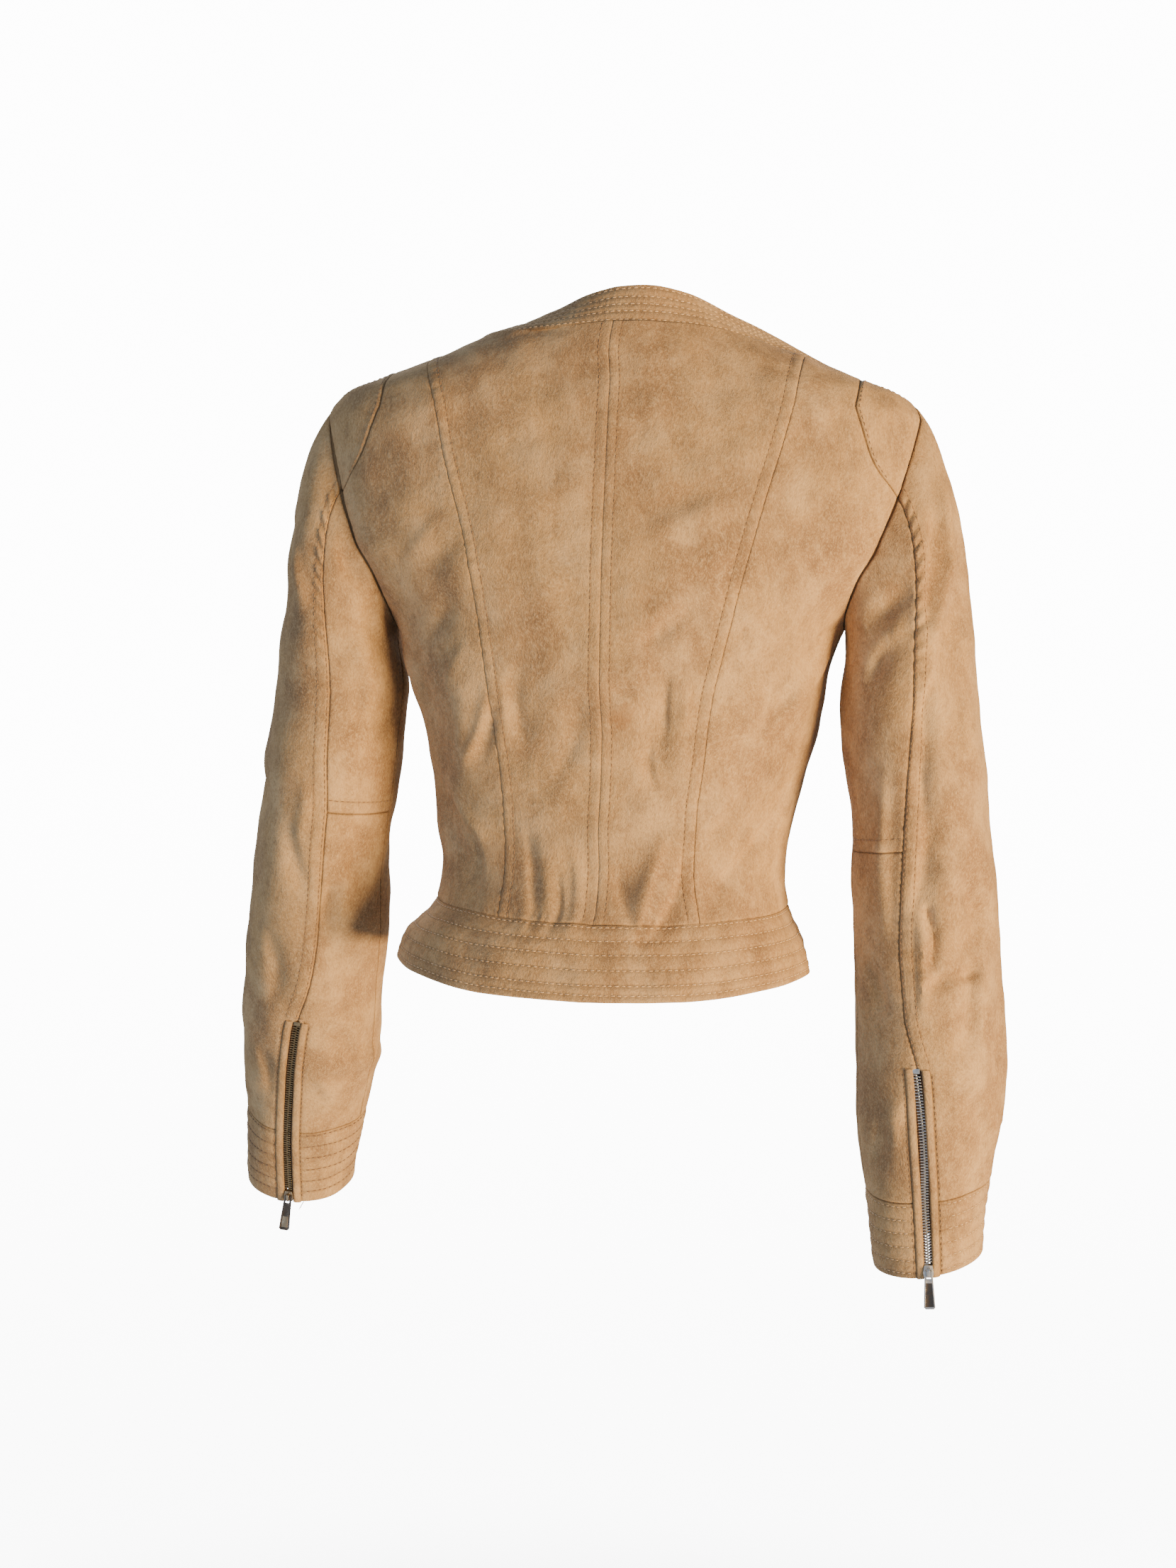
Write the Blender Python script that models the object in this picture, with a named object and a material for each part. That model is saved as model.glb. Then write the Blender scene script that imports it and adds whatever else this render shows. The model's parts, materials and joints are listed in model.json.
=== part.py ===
# A women's short suede jacket, in the hollow form it keeps when it is worn:
# back cut in four panels with shoulder patches, two fronts on a zip, two-piece
# sleeves with an elbow seam, and stitched bands at neck, waist and cuffs.
#
# Frame: +Z up, the front faces -Y, the wearer's left is +X. The origin is the
# middle of the neck opening. Tables are in millimetres and degrees.
import math

import bmesh
import bpy
import numpy as np
from mathutils import Matrix, Vector

MM = 0.001

# ---- driving dimensions -----------------------------------------------------------------
PANEL = 2.0               # suede of the panels
BAND = 2.4                # neckband, waistband and cuffs, which are lined with themselves
SEAM = 0.4                # clearance between two pieces along a seam
ARMHOLE_SEAM = 0.45       # how far the sleeve is set beside and over the armhole's edge
SHOULDER_ANGLE = 94.0     # the shoulder seam lies just behind the ridge
BAND_WIDTH = 29.0         # neckband

# Level sections of the body, shoulders to hem: half width, ridge (how far back the
# side line lies), depth of the back and of the front at the middle, how square the
# back and the front are (2 is an ellipse), and how far the section hangs to the left.
BODY = (
    # height, half, ridge, back, front, square back, square front, sway
    (12, 84, 13, 62, -36, 2.0, 2.0, 0),
    (-11, 93, 12, 68, -46, 2.0, 2.0, 0),
    (-18, 100, 11, 71, -50, 2.0, 2.0, 0.5),
    (-26, 118, 10, 74, -55, 2.0, 2.0, 1.5),
    (-36, 145, 9, 77, -59, 2.0, 2.0, 2),
    (-46, 170, 8, 79, -64, 2.1, 2.0, 1),
    (-58, 196, 6, 82, -69, 2.2, 2.0, 0),
    (-74, 206, 4, 86, -75, 2.35, 2.0, 0),
    (-95, 207, 3, 89, -84, 2.4, 2.0, 0),
    (-125, 203, 2, 94, -99, 2.4, 2.0, 0),
    (-161, 192, 1, 97, -117, 2.4, 2.0, 0),
    (-186, 175, 0, 98, -127, 2.3, 2.0, 0),
    (-212, 156, 0, 96.5, -131, 2.2, 2.15, 0),
    (-230, 149, 0, 94.5, -131, 2.2, 2.2, 0),
    (-252, 144, -1, 92, -127, 2.2, 2.2, 0),
    (-289, 133.5, -3, 86, -114, 2.2, 2.2, -2),
    (-321, 127.5, -5, 81, -105, 2.2, 2.2, -1.5),
    (-348, 123.5, -6, 78, -100, 2.2, 2.2, -0.5),
    (-377, 119.5, -6, 78, -99, 2.2, 2.2, -1.5),
    (-403, 123, -5, 84, -101, 2.2, 2.2, -1),
    (-428, 139, -3, 94, -105, 2.2, 2.2, 4),
    (-465, 147, 0, 106, -109, 2.2, 2.2, 5),
)

# Seams that run round the body: height at each angle from the centre front, left
# and right of the wearer. The neckline sits further out on the right shoulder.
NECK_SEAM = (
    # angle, left, right
    (0, -90, -90), (3, -89.4, -89.4), (11, -80, -84), (19, -62, -76), (31, -41, -64), (42, -30, -56),
    (57, -22, -48), (75, -17, -42), (94, -16, -37), (108, -17, -30), (121, -18, -22.5),
    (135, -19, -18), (150, -18.5, -16.5), (166, -17.5, -16), (180, -16, -16),
)
WAIST_SEAM = (
    (0, -400, -400), (45, -399, -399), (90, -402, -402), (125, -406, -406),
    (155, -410, -410), (180, -412, -412),
)
HEM = (
    (0, -450, -450), (45, -446, -447), (90, -444, -446), (125, -451, -452),
    (155, -459, -459), (180, -461, -461),
)
# How steeply the neckband stands, by angle from the centre front: it lies on the
# shoulders and stands up behind the neck.
BAND_LEAN = (
    # angle, left, right
    (0, 62, 62), (30, 50, 52), (57, 32, 34), (94, 20, 24), (121, 20, 36), (150, 34, 58),
    (168, 54, 68), (180, 64, 64),
)

# Princess seams of the back: distance from the centre back at each height.
PRINCESS = (
    # height, left, right
    (-412, 66, 69), (-376, 64, 63), (-341, 65, 64), (-306, 69, 68), (-272, 74, 72),
    (-214, 83, 84), (-162, 93, 97), (-130, 102, 105), (-100, 111, 113), (-70, 118, 120),
)
# Where the princess seams and the patches start on the top edge of the back: 0 is
# the centre back, 1 the neck point, 2 the shoulder tip.
PRINCESS_START = {1: 1.33, -1: 0.86}
PATCH_START = {1: 1.54, -1: 1.28}
# Inner edge of a patch between the top edge and the armhole: distance from the
# middle of the back.
PATCH_EDGE = (
    # height, both sides
    (-127, 190), (-122, 186), (-106, 173), (-90, 166), (-70, 159),
)
SHOULDER_JOIN = -70.0     # above this height both run straight over the shoulder
PATCH_END = (68.0, 74.0)   # turns round the armhole where the patch's point is cut off

# The armhole seen from the side: how far back and how high, by turn from the
# shoulder tip (0) over the back (90) and the armpit (180) to the front (270).
ARMHOLE = (
    # turn, back, height
    (0, 12, -61), (25, 28, -78), (50, 39, -100), (75, 45, -128), (100, 49, -155),
    (125, 46, -181), (150, 30, -203), (180, 0, -213), (210, -24, -204),
    (235, -39, -185), (260, -46, -159), (285, -43, -128), (310, -31, -98),
    (335, -10, -73),
)

# Sleeves below the armpit: the centre line (how far out and back), half width,
# half depth, the turn where the back seam runs, and how much lower the inner side of
# a ring hangs than its middle, at each height of the centre. The wearer's left
# forearm reaches a little forward.
SLEEVE = {
    1: (
        # height, out, back, half width, half depth, back seam, slant
        (-262, 195.5, -3, 46.5, 57, 98, 0),
        (-300, 200, -5, 47.5, 56, 101, 0),
        (-340, 205.5, -9, 47.5, 54, 107, 0),
        (-375, 210.5, -15.5, 48.5, 53, 108, 0),
        (-410, 214.5, -25, 50, 52, 107, 0),
        (-450, 219, -39, 51, 51, 102, 0),
        (-490, 225, -55, 51, 49, 91.5, 0),
        (-530, 231.5, -72.5, 50, 46, 89, -1.5),
        (-571, 238.5, -90, 45.5, 41.5, 89, -5),
        (-631, 248.5, -117, 41, 36, 93, -5),
    ),
    -1: (
        (-262, 201, 0, 47, 57, 89, 0),
        (-300, 205, 1, 47.5, 56, 96, 0),
        (-340, 210, 2, 47, 54, 104, 0),
        (-380, 214, 1, 48, 53, 110, 0),
        (-420, 218, -1, 49.5, 52, 114, 0),
        (-460, 221, -5, 50, 51, 112, 0),
        (-500, 222.5, -10, 51, 50, 101, 0),
        (-540, 223, -15, 49.5, 48, 97, 2),
        (-589, 223.5, -24, 43, 43.5, 92.5, 5.5),
        (-644, 225.5, -33, 37, 39, 90, 6),
    ),
}
SLEEVE_TOP = -262.0
SLEEVE_END = {1: -631.0, -1: -644.0}
CUFF_SEAM = {1: -571.0, -1: -589.0}
ELBOW_SEAM = {1: -338.0, -1: -357.0}
ZIP_TOP = {1: -479.0, -1: -497.0}

# The largest folds: soft ridges (above 0) and troughs (below 0) that run straight
# between two places, given by angle or turn and height, with their half width.
BODY_FOLDS = (
    # angle, height, angle, height, half width, rise
    (141, -250, 131, -322, 13, 4.0),
    (121, -232, 117, -300, 11, -3.0),
    (106, -318, 137, -398, 11, -4.5),
    (165, -262, 158, -330, 14, -3.0),
    (163, -352, 168, -412, 10, 2.5),
    (-167, -248, -166, -318, 10, -3.0),
    (-160, -360, -168, -412, 11, 3.5),
    (-112, -322, -146, -396, 12, -5.0),
    (-124, -238, -110, -290, 12, 3.0),
    (72, -330, 40, -392, 13, -5.0),
    (88, -262, 60, -330, 15, 3.5),
    (-70, -322, -42, -396, 13, -5.0),
    (-86, -266, -56, -338, 14, 3.5),
    (26, -262, 18, -376, 15, -3.5),
    (-24, -276, -20, -388, 14, -3.5),
)
SLEEVE_FOLDS = {
    1: (
        (-6, -178, 42, -218, 15, -4.5),
        (50, -150, 78, -235, 12, 3.0),
        (268, -318, 196, -352, 11, -5.0),
        (300, -352, 214, -338, 10, -4.0),
        (288, -334, 236, -344, 9, 3.0),
        (150, -344, 128, -398, 12, -4.0),
        (118, -412, 152, -470, 14, -3.0),
        (20, -330, 48, -410, 16, -3.0),
    ),
    -1: (
        (36, -168, 58, -300, 11, -4.0),
        (66, -158, 88, -330, 12, 3.0),
        (122, -222, 92, -200, 10, -3.5),
        (272, -352, 204, -384, 11, -4.5),
        (296, -382, 226, -372, 10, -3.5),
        (40, -384, 60, -432, 11, -4.5),
        (68, -424, 22, -406, 12, -4.0),
        (18, -428, 34, -520, 14, -3.5),
    ),
}
# The seam under the arm: its turn from the armhole (0) to the armpit level (1) and
# the cuff (2).
UNDER_SEAM = ((0, 194), (1, 172), (1.5, 168), (2, 168))
BACK_SEAM_START = 74.0     # turn of the back seam on the armhole

# Zips.
SLOT = 4.2                # half of the gap that a zip fills
CHAIN = 2.6               # half width of the closed teeth
TAPE = 14.0               # half width over both tapes
TAPE_DEPTH = (2.8, 3.6)   # below the face of the cloth
CHAIN_DEPTH = (0.6, 3.6)
TAPE_OVER = 8.0           # tape sewn under the cloth above a cuff zip
SLIDER_LENGTH = 9.0
HEM_TO_SLIDER = 0.6
CHAIN_TO_SLIDER = 0.6

SUEDE = (0.50, 0.30, 0.15, 1.0)
TAPE_CLOTH = (0.34, 0.22, 0.12, 1.0)
NICKEL = (0.55, 0.53, 0.50, 1.0)
STEEL = (0.42, 0.36, 0.28, 1.0)


# ---- curves through tables ------------------------------------------------------------
def column(table, index, cyclic=False):
    """A smooth curve through one column of a table, by the first column."""
    rows = sorted(table)
    if cyclic:
        rows = [(r[0] - 360, *r[1:]) for r in rows[-3:]] + rows + [(r[0] + 360, *r[1:]) for r in rows[:3]]
    x = np.array([row[0] for row in rows], float)
    y = np.array([row[index] for row in rows], float)
    step = np.diff(x)
    rise = np.diff(y) / step
    slope = np.empty(len(x))
    slope[0], slope[-1] = rise[0], rise[-1]
    for i in range(1, len(x) - 1):
        if cyclic:
            slope[i] = (rise[i - 1] * step[i] + rise[i] * step[i - 1]) / (step[i - 1] + step[i])
        elif rise[i - 1] * rise[i] <= 0:
            slope[i] = 0.0
        else:
            near, far = 2 * step[i] + step[i - 1], step[i] + 2 * step[i - 1]
            slope[i] = (near + far) / (near / rise[i - 1] + far / rise[i])

    def at(value):
        value = np.mod(value, 360.0) if cyclic else np.clip(value, x[0], x[-1])
        k = np.clip(np.searchsorted(x, value, side="right") - 1, 0, len(step) - 1)
        t = (value - x[k]) / step[k]
        start = y[k] * (1 + 2 * t) * (1 - t) ** 2 + y[k + 1] * t * t * (3 - 2 * t)
        return start + step[k] * t * (1 - t) * (slope[k] * (1 - t) - slope[k + 1] * t)

    return at


HALF, RIDGE, BACK, FRONT, SQUARE_BACK, SQUARE_FRONT, SWAY = (column(BODY, i) for i in range(1, 8))
ARM_BACK, ARM_HEIGHT = (column(ARMHOLE, i, cyclic=True) for i in (1, 2))
ARM = {side: [column(SLEEVE[side], i) for i in range(1, 7)] for side in (1, -1)}
UNDER = column(UNDER_SEAM, 1)
LEANS = {1: column(BAND_LEAN, 1), -1: column(BAND_LEAN, 2)}
RINGS = {name: {1: column(table, 1), -1: column(table, 2)}
         for name, table in (("neck", NECK_SEAM), ("waist", WAIST_SEAM), ("hem", HEM))}
PATCH = column(PATCH_EDGE, 1)
BACK_SEAMS = {1: column(PRINCESS, 1), -1: column(PRINCESS, 2)}


def ring(name, angle):
    """Height of a seam round the body; angles past 180 are the wearer's right."""
    angle = np.asarray(angle, float)
    turned = np.mod(angle, 360.0)
    left = RINGS[name][1](np.minimum(turned, 180.0))
    right = RINGS[name][-1](np.minimum(360.0 - turned, 180.0))
    return np.where(turned <= 180.0, left, right)


def relief(along, height, folds, degree):
    """Rise of the cloth over its plain form; degree is the length of one in mm."""
    total = np.zeros(np.broadcast(along, height).shape)
    for along_0, height_0, along_1, height_1, reach, rise in folds:
        run = np.array([(along_1 - along_0) * degree, height_1 - height_0])
        far = [(along - along_0) * degree, height - height_0]
        share = np.clip((far[0] * run[0] + far[1] * run[1]) / run.dot(run), 0, 1)
        off = np.hypot(far[0] - share * run[0], far[1] - share * run[1])
        total += rise * np.exp(-(off / reach) ** 2) * (0.4 + 0.6 * np.sin(np.pi * share))
    return total


# ---- the body's surface ------------------------------------------------------------------
BODY_DEGREE = 2.0         # mm of cloth to a degree round the body
SLEEVE_DEGREE = 0.9       # and round a sleeve


def body(grid):
    """Outer face of the body at rows of (angle from the centre front, height)."""
    angle, height = np.radians(grid[..., 0]), grid[..., 1]
    across, fore = np.sin(angle), np.cos(angle)
    behind = fore < 0
    ridge = RIDGE(height)
    depth = np.where(behind, BACK(height) - ridge, ridge - FRONT(height))
    power = 2.0 / np.where(behind, SQUARE_BACK(height), SQUARE_FRONT(height))
    x = HALF(height) * np.sign(across) * np.abs(across) ** power
    y = -depth * np.sign(fore) * np.abs(fore) ** power
    facing = np.stack([x / HALF(height) ** 2, y / depth ** 2], axis=-1)
    facing /= np.linalg.norm(facing, axis=-1, keepdims=True)
    turned = np.mod(grid[..., 0] + 180.0, 360.0) - 180.0
    rise = relief(turned, height, BODY_FOLDS, BODY_DEGREE)
    return np.stack([SWAY(height) + x + facing[..., 0] * rise,
                     ridge + y + facing[..., 1] * rise, height + 0.0 * x], axis=-1)


def angle_at_depth(side, back, height):
    """Angle of the body's point that lies so far back at a height, on one side."""
    ridge = RIDGE(height)
    behind = back > ridge
    depth = np.where(behind, BACK(height) - ridge, ridge - FRONT(height))
    power = np.where(behind, SQUARE_BACK(height), SQUARE_FRONT(height)) / 2.0
    fore = np.clip(np.abs(back - ridge) / depth, 0, 1) ** power
    turn = np.degrees(np.arccos(np.where(behind, -fore, fore)))
    return side * turn


def angle_at_width(side, width, height, behind):
    """Angle of the body's point at a distance from the middle, on one side."""
    offset = np.clip((width - side * SWAY(height)) / HALF(height), 0, 1)
    power = (SQUARE_BACK(height) if behind else SQUARE_FRONT(height)) / 2.0
    turn = np.degrees(np.arcsin(offset ** power))
    return side * (180.0 - turn if behind else turn)


def angle_at_offset(offset, height):
    """Angle of a point of the front at a distance from its section's own middle."""
    return np.degrees(np.arcsin((offset / HALF(height)) ** (SQUARE_FRONT(height) / 2.0)))


def armhole(side, turn):
    """(angle, height) of the armhole's edge at a turn from the shoulder tip."""
    turn = np.asarray(turn, float)
    back, height = ARM_BACK(turn), ARM_HEIGHT(turn)
    return np.stack([angle_at_depth(side, back, height), height], axis=-1)


def normals(surface, grid, facing):
    """Unit normals of a surface at its grid, pointing out of the garment."""
    step = np.array([0.25, 0.0])
    rise = np.array([0.0, surface.step])
    run = surface(grid + step) - surface(grid - step)
    climb = surface(grid + rise) - surface(grid - rise)
    out = np.cross(run, climb) * facing
    return out / np.linalg.norm(out, axis=-1, keepdims=True)


body.step = 0.5


# ---- a sleeve's surface ---------------------------------------------------------------
def sleeve_ring(side, turn, height):
    """A ring of the sleeve, square to its centre line, and the line's direction."""
    out, back, half_width, half_depth, _, slant = (curve(height) for curve in ARM[side])
    lower = [curve(height - 2.0) for curve in ARM[side][:2]]
    upper = [curve(height + 2.0) for curve in ARM[side][:2]]
    span = np.clip(height + 2.0, None, SLEEVE_TOP) - np.clip(height - 2.0, SLEEVE_END[side], None)
    along = np.stack([side * (lower[0] - upper[0]) / span, (lower[1] - upper[1]) / span,
                      -np.ones_like(height)], axis=-1)
    along /= np.linalg.norm(along, axis=-1, keepdims=True)
    rear = np.array([0.0, 1.0, 0.0]) - along * along[..., 1:2]
    rear /= np.linalg.norm(rear, axis=-1, keepdims=True)
    outward = np.cross(rear, along) * -side
    centre = np.stack([side * out, back, height + 0.0 * out], axis=-1)
    rise = relief(np.mod(turn + 60.0, 360.0) - 60.0, height, SLEEVE_FOLDS[side], SLEEVE_DEGREE)
    turn = np.radians(turn)
    across = outward * ((half_width + rise) * np.cos(turn))[..., None]
    fore = rear * ((half_depth + rise) * np.sin(turn))[..., None]
    return centre + across + fore - along * (slant * np.cos(turn))[..., None], along


def make_sleeve(side):
    """Surface of a sleeve at rows of (turn, level): 0 armhole, 1 armpit, 2 cuff's hem."""
    def sleeve(grid):
        turn, level = grid[..., 0], grid[..., 1]
        height = SLEEVE_TOP + np.clip(level - 1.0, 0, 1) * (SLEEVE_END[side] - SLEEVE_TOP)
        arm, along = sleeve_ring(side, turn, height)
        # past its hem the sleeve runs straight on, so that its edge has a true normal
        over = (level - 2.0)[..., None] * (SLEEVE_TOP - SLEEVE_END[side])
        arm = arm + along * np.clip(over, 0, None)
        # the cap: a curve from the armhole's edge down to the armpit's level
        cos, sin = np.cos(np.radians(turn)), np.sin(np.radians(turn))
        outward = np.stack([side * cos, sin, 0 * cos], axis=-1)
        start = body(armhole(side, turn))
        leave = np.stack([side * (0.55 + 0.1 * cos), 0.3 * sin, np.full_like(cos, -0.75)], axis=-1)
        leave /= np.linalg.norm(leave, axis=-1, keepdims=True)
        first = start + leave * (29.0 + 17.0 * cos)[..., None]
        last = arm - along * (50.0 + 30.0 * cos)[..., None]
        t = np.clip(level, -0.02, 1)[..., None]
        cap = (start * (1 - t) ** 3 + 3 * first * t * (1 - t) ** 2
               + 3 * last * t * t * (1 - t) + arm * t ** 3)
        folds = relief(np.mod(turn + 60.0, 360.0) - 60.0, cap[..., 2], SLEEVE_FOLDS[side], SLEEVE_DEGREE)
        cap += outward * (folds * (1 - t[..., 0] ** 4) * np.clip(4 * t[..., 0], 0, 1))[..., None]
        return np.where((level < 1.0)[..., None], cap, arm)

    sleeve.step = 0.004
    return sleeve


SLEEVES = {side: make_sleeve(side) for side in (1, -1)}


def level_of(side, height):
    return 1.0 + (height - SLEEVE_TOP) / (SLEEVE_END[side] - SLEEVE_TOP)


def back_seam(side, level):
    """Turn of the back seam at a level of the sleeve."""
    level = np.asarray(level, float)
    height = SLEEVE_TOP + np.clip(level - 1.0, 0, 1) * (SLEEVE_END[side] - SLEEVE_TOP)
    below = ARM[side][4](height)
    share = np.clip(level, 0, 1)
    return np.where(level < 1.0, BACK_SEAM_START + (below - BACK_SEAM_START) * share, below)


# ---- cutting a piece from a surface ------------------------------------------------------
def spread(start, end, count, corner):
    """Even values between two, with one of them moved onto a corner that they pass."""
    values = np.linspace(start, end, count + 1)
    if start < corner < end:
        values[1 + int(np.argmin(np.abs(values[1:-1] - corner)))] = corner
    return values


def runs(*stretches):
    """Even values through stretches of (start, end, count) that follow each other."""
    return np.concatenate([[stretches[0][0]]]
                          + [np.linspace(start, end, count + 1)[1:] for start, end, count in stretches])


def patchwork(left, right, top, bottom, ease=3.0):
    """Grid of a four-sided piece between its edges. Its rows run straight from left to
    right, and take the bends of the top and bottom edges only near them."""
    v = np.linspace(0, 1, len(left))[:, None, None]
    u = np.linspace(0, 1, len(top))[None, :, None]
    top_bend = top[None] - ((1 - u) * top[0] + u * top[-1])
    bottom_bend = bottom[None] - ((1 - u) * bottom[0] + u * bottom[-1])
    near_top = np.clip(1 - v * ease, 0, 1) ** 2
    near_bottom = np.clip(1 - (1 - v) * ease, 0, 1) ** 2
    return (1 - u) * left[:, None] + u * right[:, None] + near_top * top_bend + near_bottom * bottom_bend


EDGES = {
    "left": (np.s_[:, 0], np.s_[:, 1]),
    "right": (np.s_[:, -1], np.s_[:, -2]),
    "top": (np.s_[0], np.s_[1]),
    "bottom": (np.s_[-1], np.s_[-2]),
}


def draw_back(surface, grid, sides, gap=SEAM / 2):
    """The grid with the named edges drawn back from their seams."""
    grid = grid.copy()
    points = surface(grid)
    for side in sides:
        edge, inner = EDGES[side]
        reach = np.linalg.norm(points[inner] - points[edge], axis=-1)
        grid[edge] += (grid[inner] - grid[edge]) * (gap / reach)[..., None]
    return grid


def add_object(name, mesh_data, material, smooth=35.0):
    mesh = bpy.data.meshes.new(name)
    mesh_data.to_mesh(mesh)
    mesh_data.free()
    mesh.shade_smooth()
    mesh.set_sharp_from_angle(angle=math.radians(smooth))
    mesh.materials.append(material)
    thing = bpy.data.objects.new(name, mesh)
    bpy.context.scene.collection.objects.link(thing)
    return thing


def wall(name, outer, inner, material, ring_closed=False):
    """A closed wall between two grids of points."""
    data = bmesh.new()
    rows, cols = outer.shape[:2]
    faces = [[[data.verts.new(Vector(p) * MM) for p in row] for row in side] for side in (outer, inner)]
    front, behind = faces
    for r in range(rows - 1):
        for c in range(cols - 1):
            data.faces.new((front[r][c], front[r][c + 1], front[r + 1][c + 1], front[r + 1][c]))
            data.faces.new((behind[r + 1][c], behind[r + 1][c + 1], behind[r][c + 1], behind[r][c]))
    rim = ([(0, c) for c in range(cols)] + [(r, cols - 1) for r in range(1, rows)]
           + [(rows - 1, c) for c in range(cols - 2, -1, -1)] + [(r, 0) for r in range(rows - 2, 0, -1)])
    for here, after in zip(rim, rim[1:] + rim[:1]):
        data.faces.new((front[after[0]][after[1]], front[here[0]][here[1]],
                        behind[here[0]][here[1]], behind[after[0]][after[1]]))
    bmesh.ops.recalc_face_normals(data, faces=data.faces)
    return add_object(name, data, material)


def body_piece(name, grid, sides, thickness=PANEL, material=None):
    grid = draw_back(body, grid, sides)
    outer = body(grid)
    inner = outer - normals(body, grid, 1) * thickness
    return wall(name, outer, inner, material or LOOKS["suede"])


# ---- seams of the body as curves of (angle, height) ---------------------------------------
def neck_point(side):
    return float(RINGS["neck"][side](SHOULDER_ANGLE))


def shoulder_tip():
    return ARMHOLE[0][2]


def top_edge(side):
    """The back's top edge: neck seam from the centre back, then the shoulder seam."""
    def at(value):
        value = np.asarray(value, float)
        angle = 180.0 + np.clip(value, 0, 1) * (SHOULDER_ANGLE - 180.0)
        on_neck = RINGS["neck"][side](angle)
        start = neck_point(side)
        height = np.where(value <= 1, on_neck, start + (value - 1) * (shoulder_tip() - start))
        return np.stack([side * angle, height], axis=-1)
    return at


SHOULDER_BIAS = 1.5       # seams have more of their points where they come over the shoulder


def over_shoulder(side, start, width, height):
    """Angle of a back seam that leaves the top edge at start and keeps its widths below."""
    join = width(SHOULDER_JOIN)
    top = abs(body(start)[0])
    share = np.clip((height - SHOULDER_JOIN) / (start[1] - SHOULDER_JOIN), 0, 1)
    here = np.where(height > SHOULDER_JOIN, join + (top - join) * share, width(height))
    return angle_at_width(side, here, height, True)


def princess(side):
    """A princess seam, 0 at the top edge to 1 at the waist seam."""
    start = top_edge(side)(PRINCESS_START[side])
    waist = RINGS["waist"][side](158.0)

    def at(value):
        value = np.asarray(value, float) ** SHOULDER_BIAS
        height = start[1] + value * (waist - start[1])
        return np.stack([over_shoulder(side, start, BACK_SEAMS[side], height), height], axis=-1)
    return at


def patch_edge(side):
    """A patch's inner edge, 0 at the top edge to 1 at the armhole."""
    start = top_edge(side)(PATCH_START[side])
    end = armhole(side, PATCH_END[1])

    def at(value):
        value = np.asarray(value, float) ** SHOULDER_BIAS
        height = start[1] + value * (end[1] - start[1])
        slip = end[0] - angle_at_width(side, PATCH(end[1]), end[1], True)
        angle = over_shoulder(side, start, PATCH, height) + slip * value ** 6
        return np.stack([angle, height], axis=-1)
    return at


def waist_to(side, start, end, count, name="waist"):
    angles = np.linspace(start, end, count + 1)
    return np.stack([side * angles, RINGS[name][side](np.abs(angles))], axis=-1)


def front_edge(side, heights):
    """The edge of a front beside the zip."""
    return np.stack([side * angle_at_offset(SLOT, heights), heights], axis=-1)


# ---- panels ------------------------------------------------------------------------------
# Pieces that share a seam have their points at the same places along it.
CENTRE_COLS, SIDE_COLS, FRONT_COLS = 8, 7, 11
BAND_COLS, BAND_ROWS = 30, 4
PATCH_ROWS, HOLE_ROWS, SIDE_ROWS = 6, 7, 12
BACK_ROWS = PATCH_ROWS + HOLE_ROWS + SIDE_ROWS
PRINCESS_SHARES = runs((0, 0.37, PATCH_ROWS), (0.37, 0.6, HOLE_ROWS), (0.6, 1, SIDE_ROWS))
UNDER_TURN = UNDER_SEAM[0][1]
PATCH_TURNS = np.linspace(0, PATCH_END[0], PATCH_ROWS + 1)
BACK_TURNS = np.linspace(PATCH_END[1], 180, HOLE_ROWS + 1)
FRONT_TURNS = runs((360, UNDER_TURN, 11), (UNDER_TURN, 180, 1))
FRONT_TOP_ANGLES = np.linspace(angle_at_offset(SLOT, NECK_SEAM[0][1]), SHOULDER_ANGLE, FRONT_COLS + 1)


def top_values(side):
    """Where the columns of the two back panels start along the top edge."""
    return (spread(0, PRINCESS_START[side], CENTRE_COLS, 1),
            spread(PRINCESS_START[side], PATCH_START[side], SIDE_COLS, 1))


def build_back(side, hand):
    seam = princess(side)
    centre_values, side_values = top_values(side)
    middle = np.stack([np.full(BACK_ROWS + 1, side * 180.0),
                       ring("neck", 180) + PRINCESS_SHARES ** SHOULDER_BIAS
                       * (ring("waist", 180) - ring("neck", 180))], axis=-1)
    princess_waist = abs(float(seam(1.0)[0]))
    top = top_edge(side)(centre_values)
    bottom = waist_to(side, 180, princess_waist, CENTRE_COLS)
    edge = seam(PRINCESS_SHARES)
    edge[-1] = bottom[-1]
    body_piece(f"back_centre_{hand}", patchwork(middle, edge, top, bottom),
               ("left", "right", "top", "bottom"))

    # the side panel: its outer edge runs down the patch, the armhole and the side
    hole = armhole(side, BACK_TURNS)
    low = np.linspace(hole[-1][1], ring("waist", 90), SIDE_ROWS + 1)
    outer = np.concatenate([
        patch_edge(side)(np.linspace(0, 1, PATCH_ROWS + 1)),
        hole[1:],
        np.stack([np.full(SIDE_ROWS, side * 90.0), low[1:]], axis=-1),
    ])
    inner = edge.copy()
    top = top_edge(side)(side_values)
    bottom = waist_to(side, princess_waist, 90, SIDE_COLS)
    body_piece(f"back_side_{hand}", patchwork(inner, outer, top, bottom),
               ("left", "right", "top", "bottom"))

    inner = patch_edge(side)(np.linspace(0, 1, PATCH_ROWS + 1))
    outer = armhole(side, PATCH_TURNS)
    top = top_edge(side)(np.linspace(PATCH_START[side], 2, 5))
    outer[0] = top[-1]
    bottom = armhole(side, np.linspace(PATCH_END[1], PATCH_END[0], 5))
    inner[-1] = bottom[0]
    outer[-1] = bottom[-1]
    body_piece(f"shoulder_patch_{hand}", patchwork(inner, outer, top, bottom),
               ("left", "right", "top", "bottom"))


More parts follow.
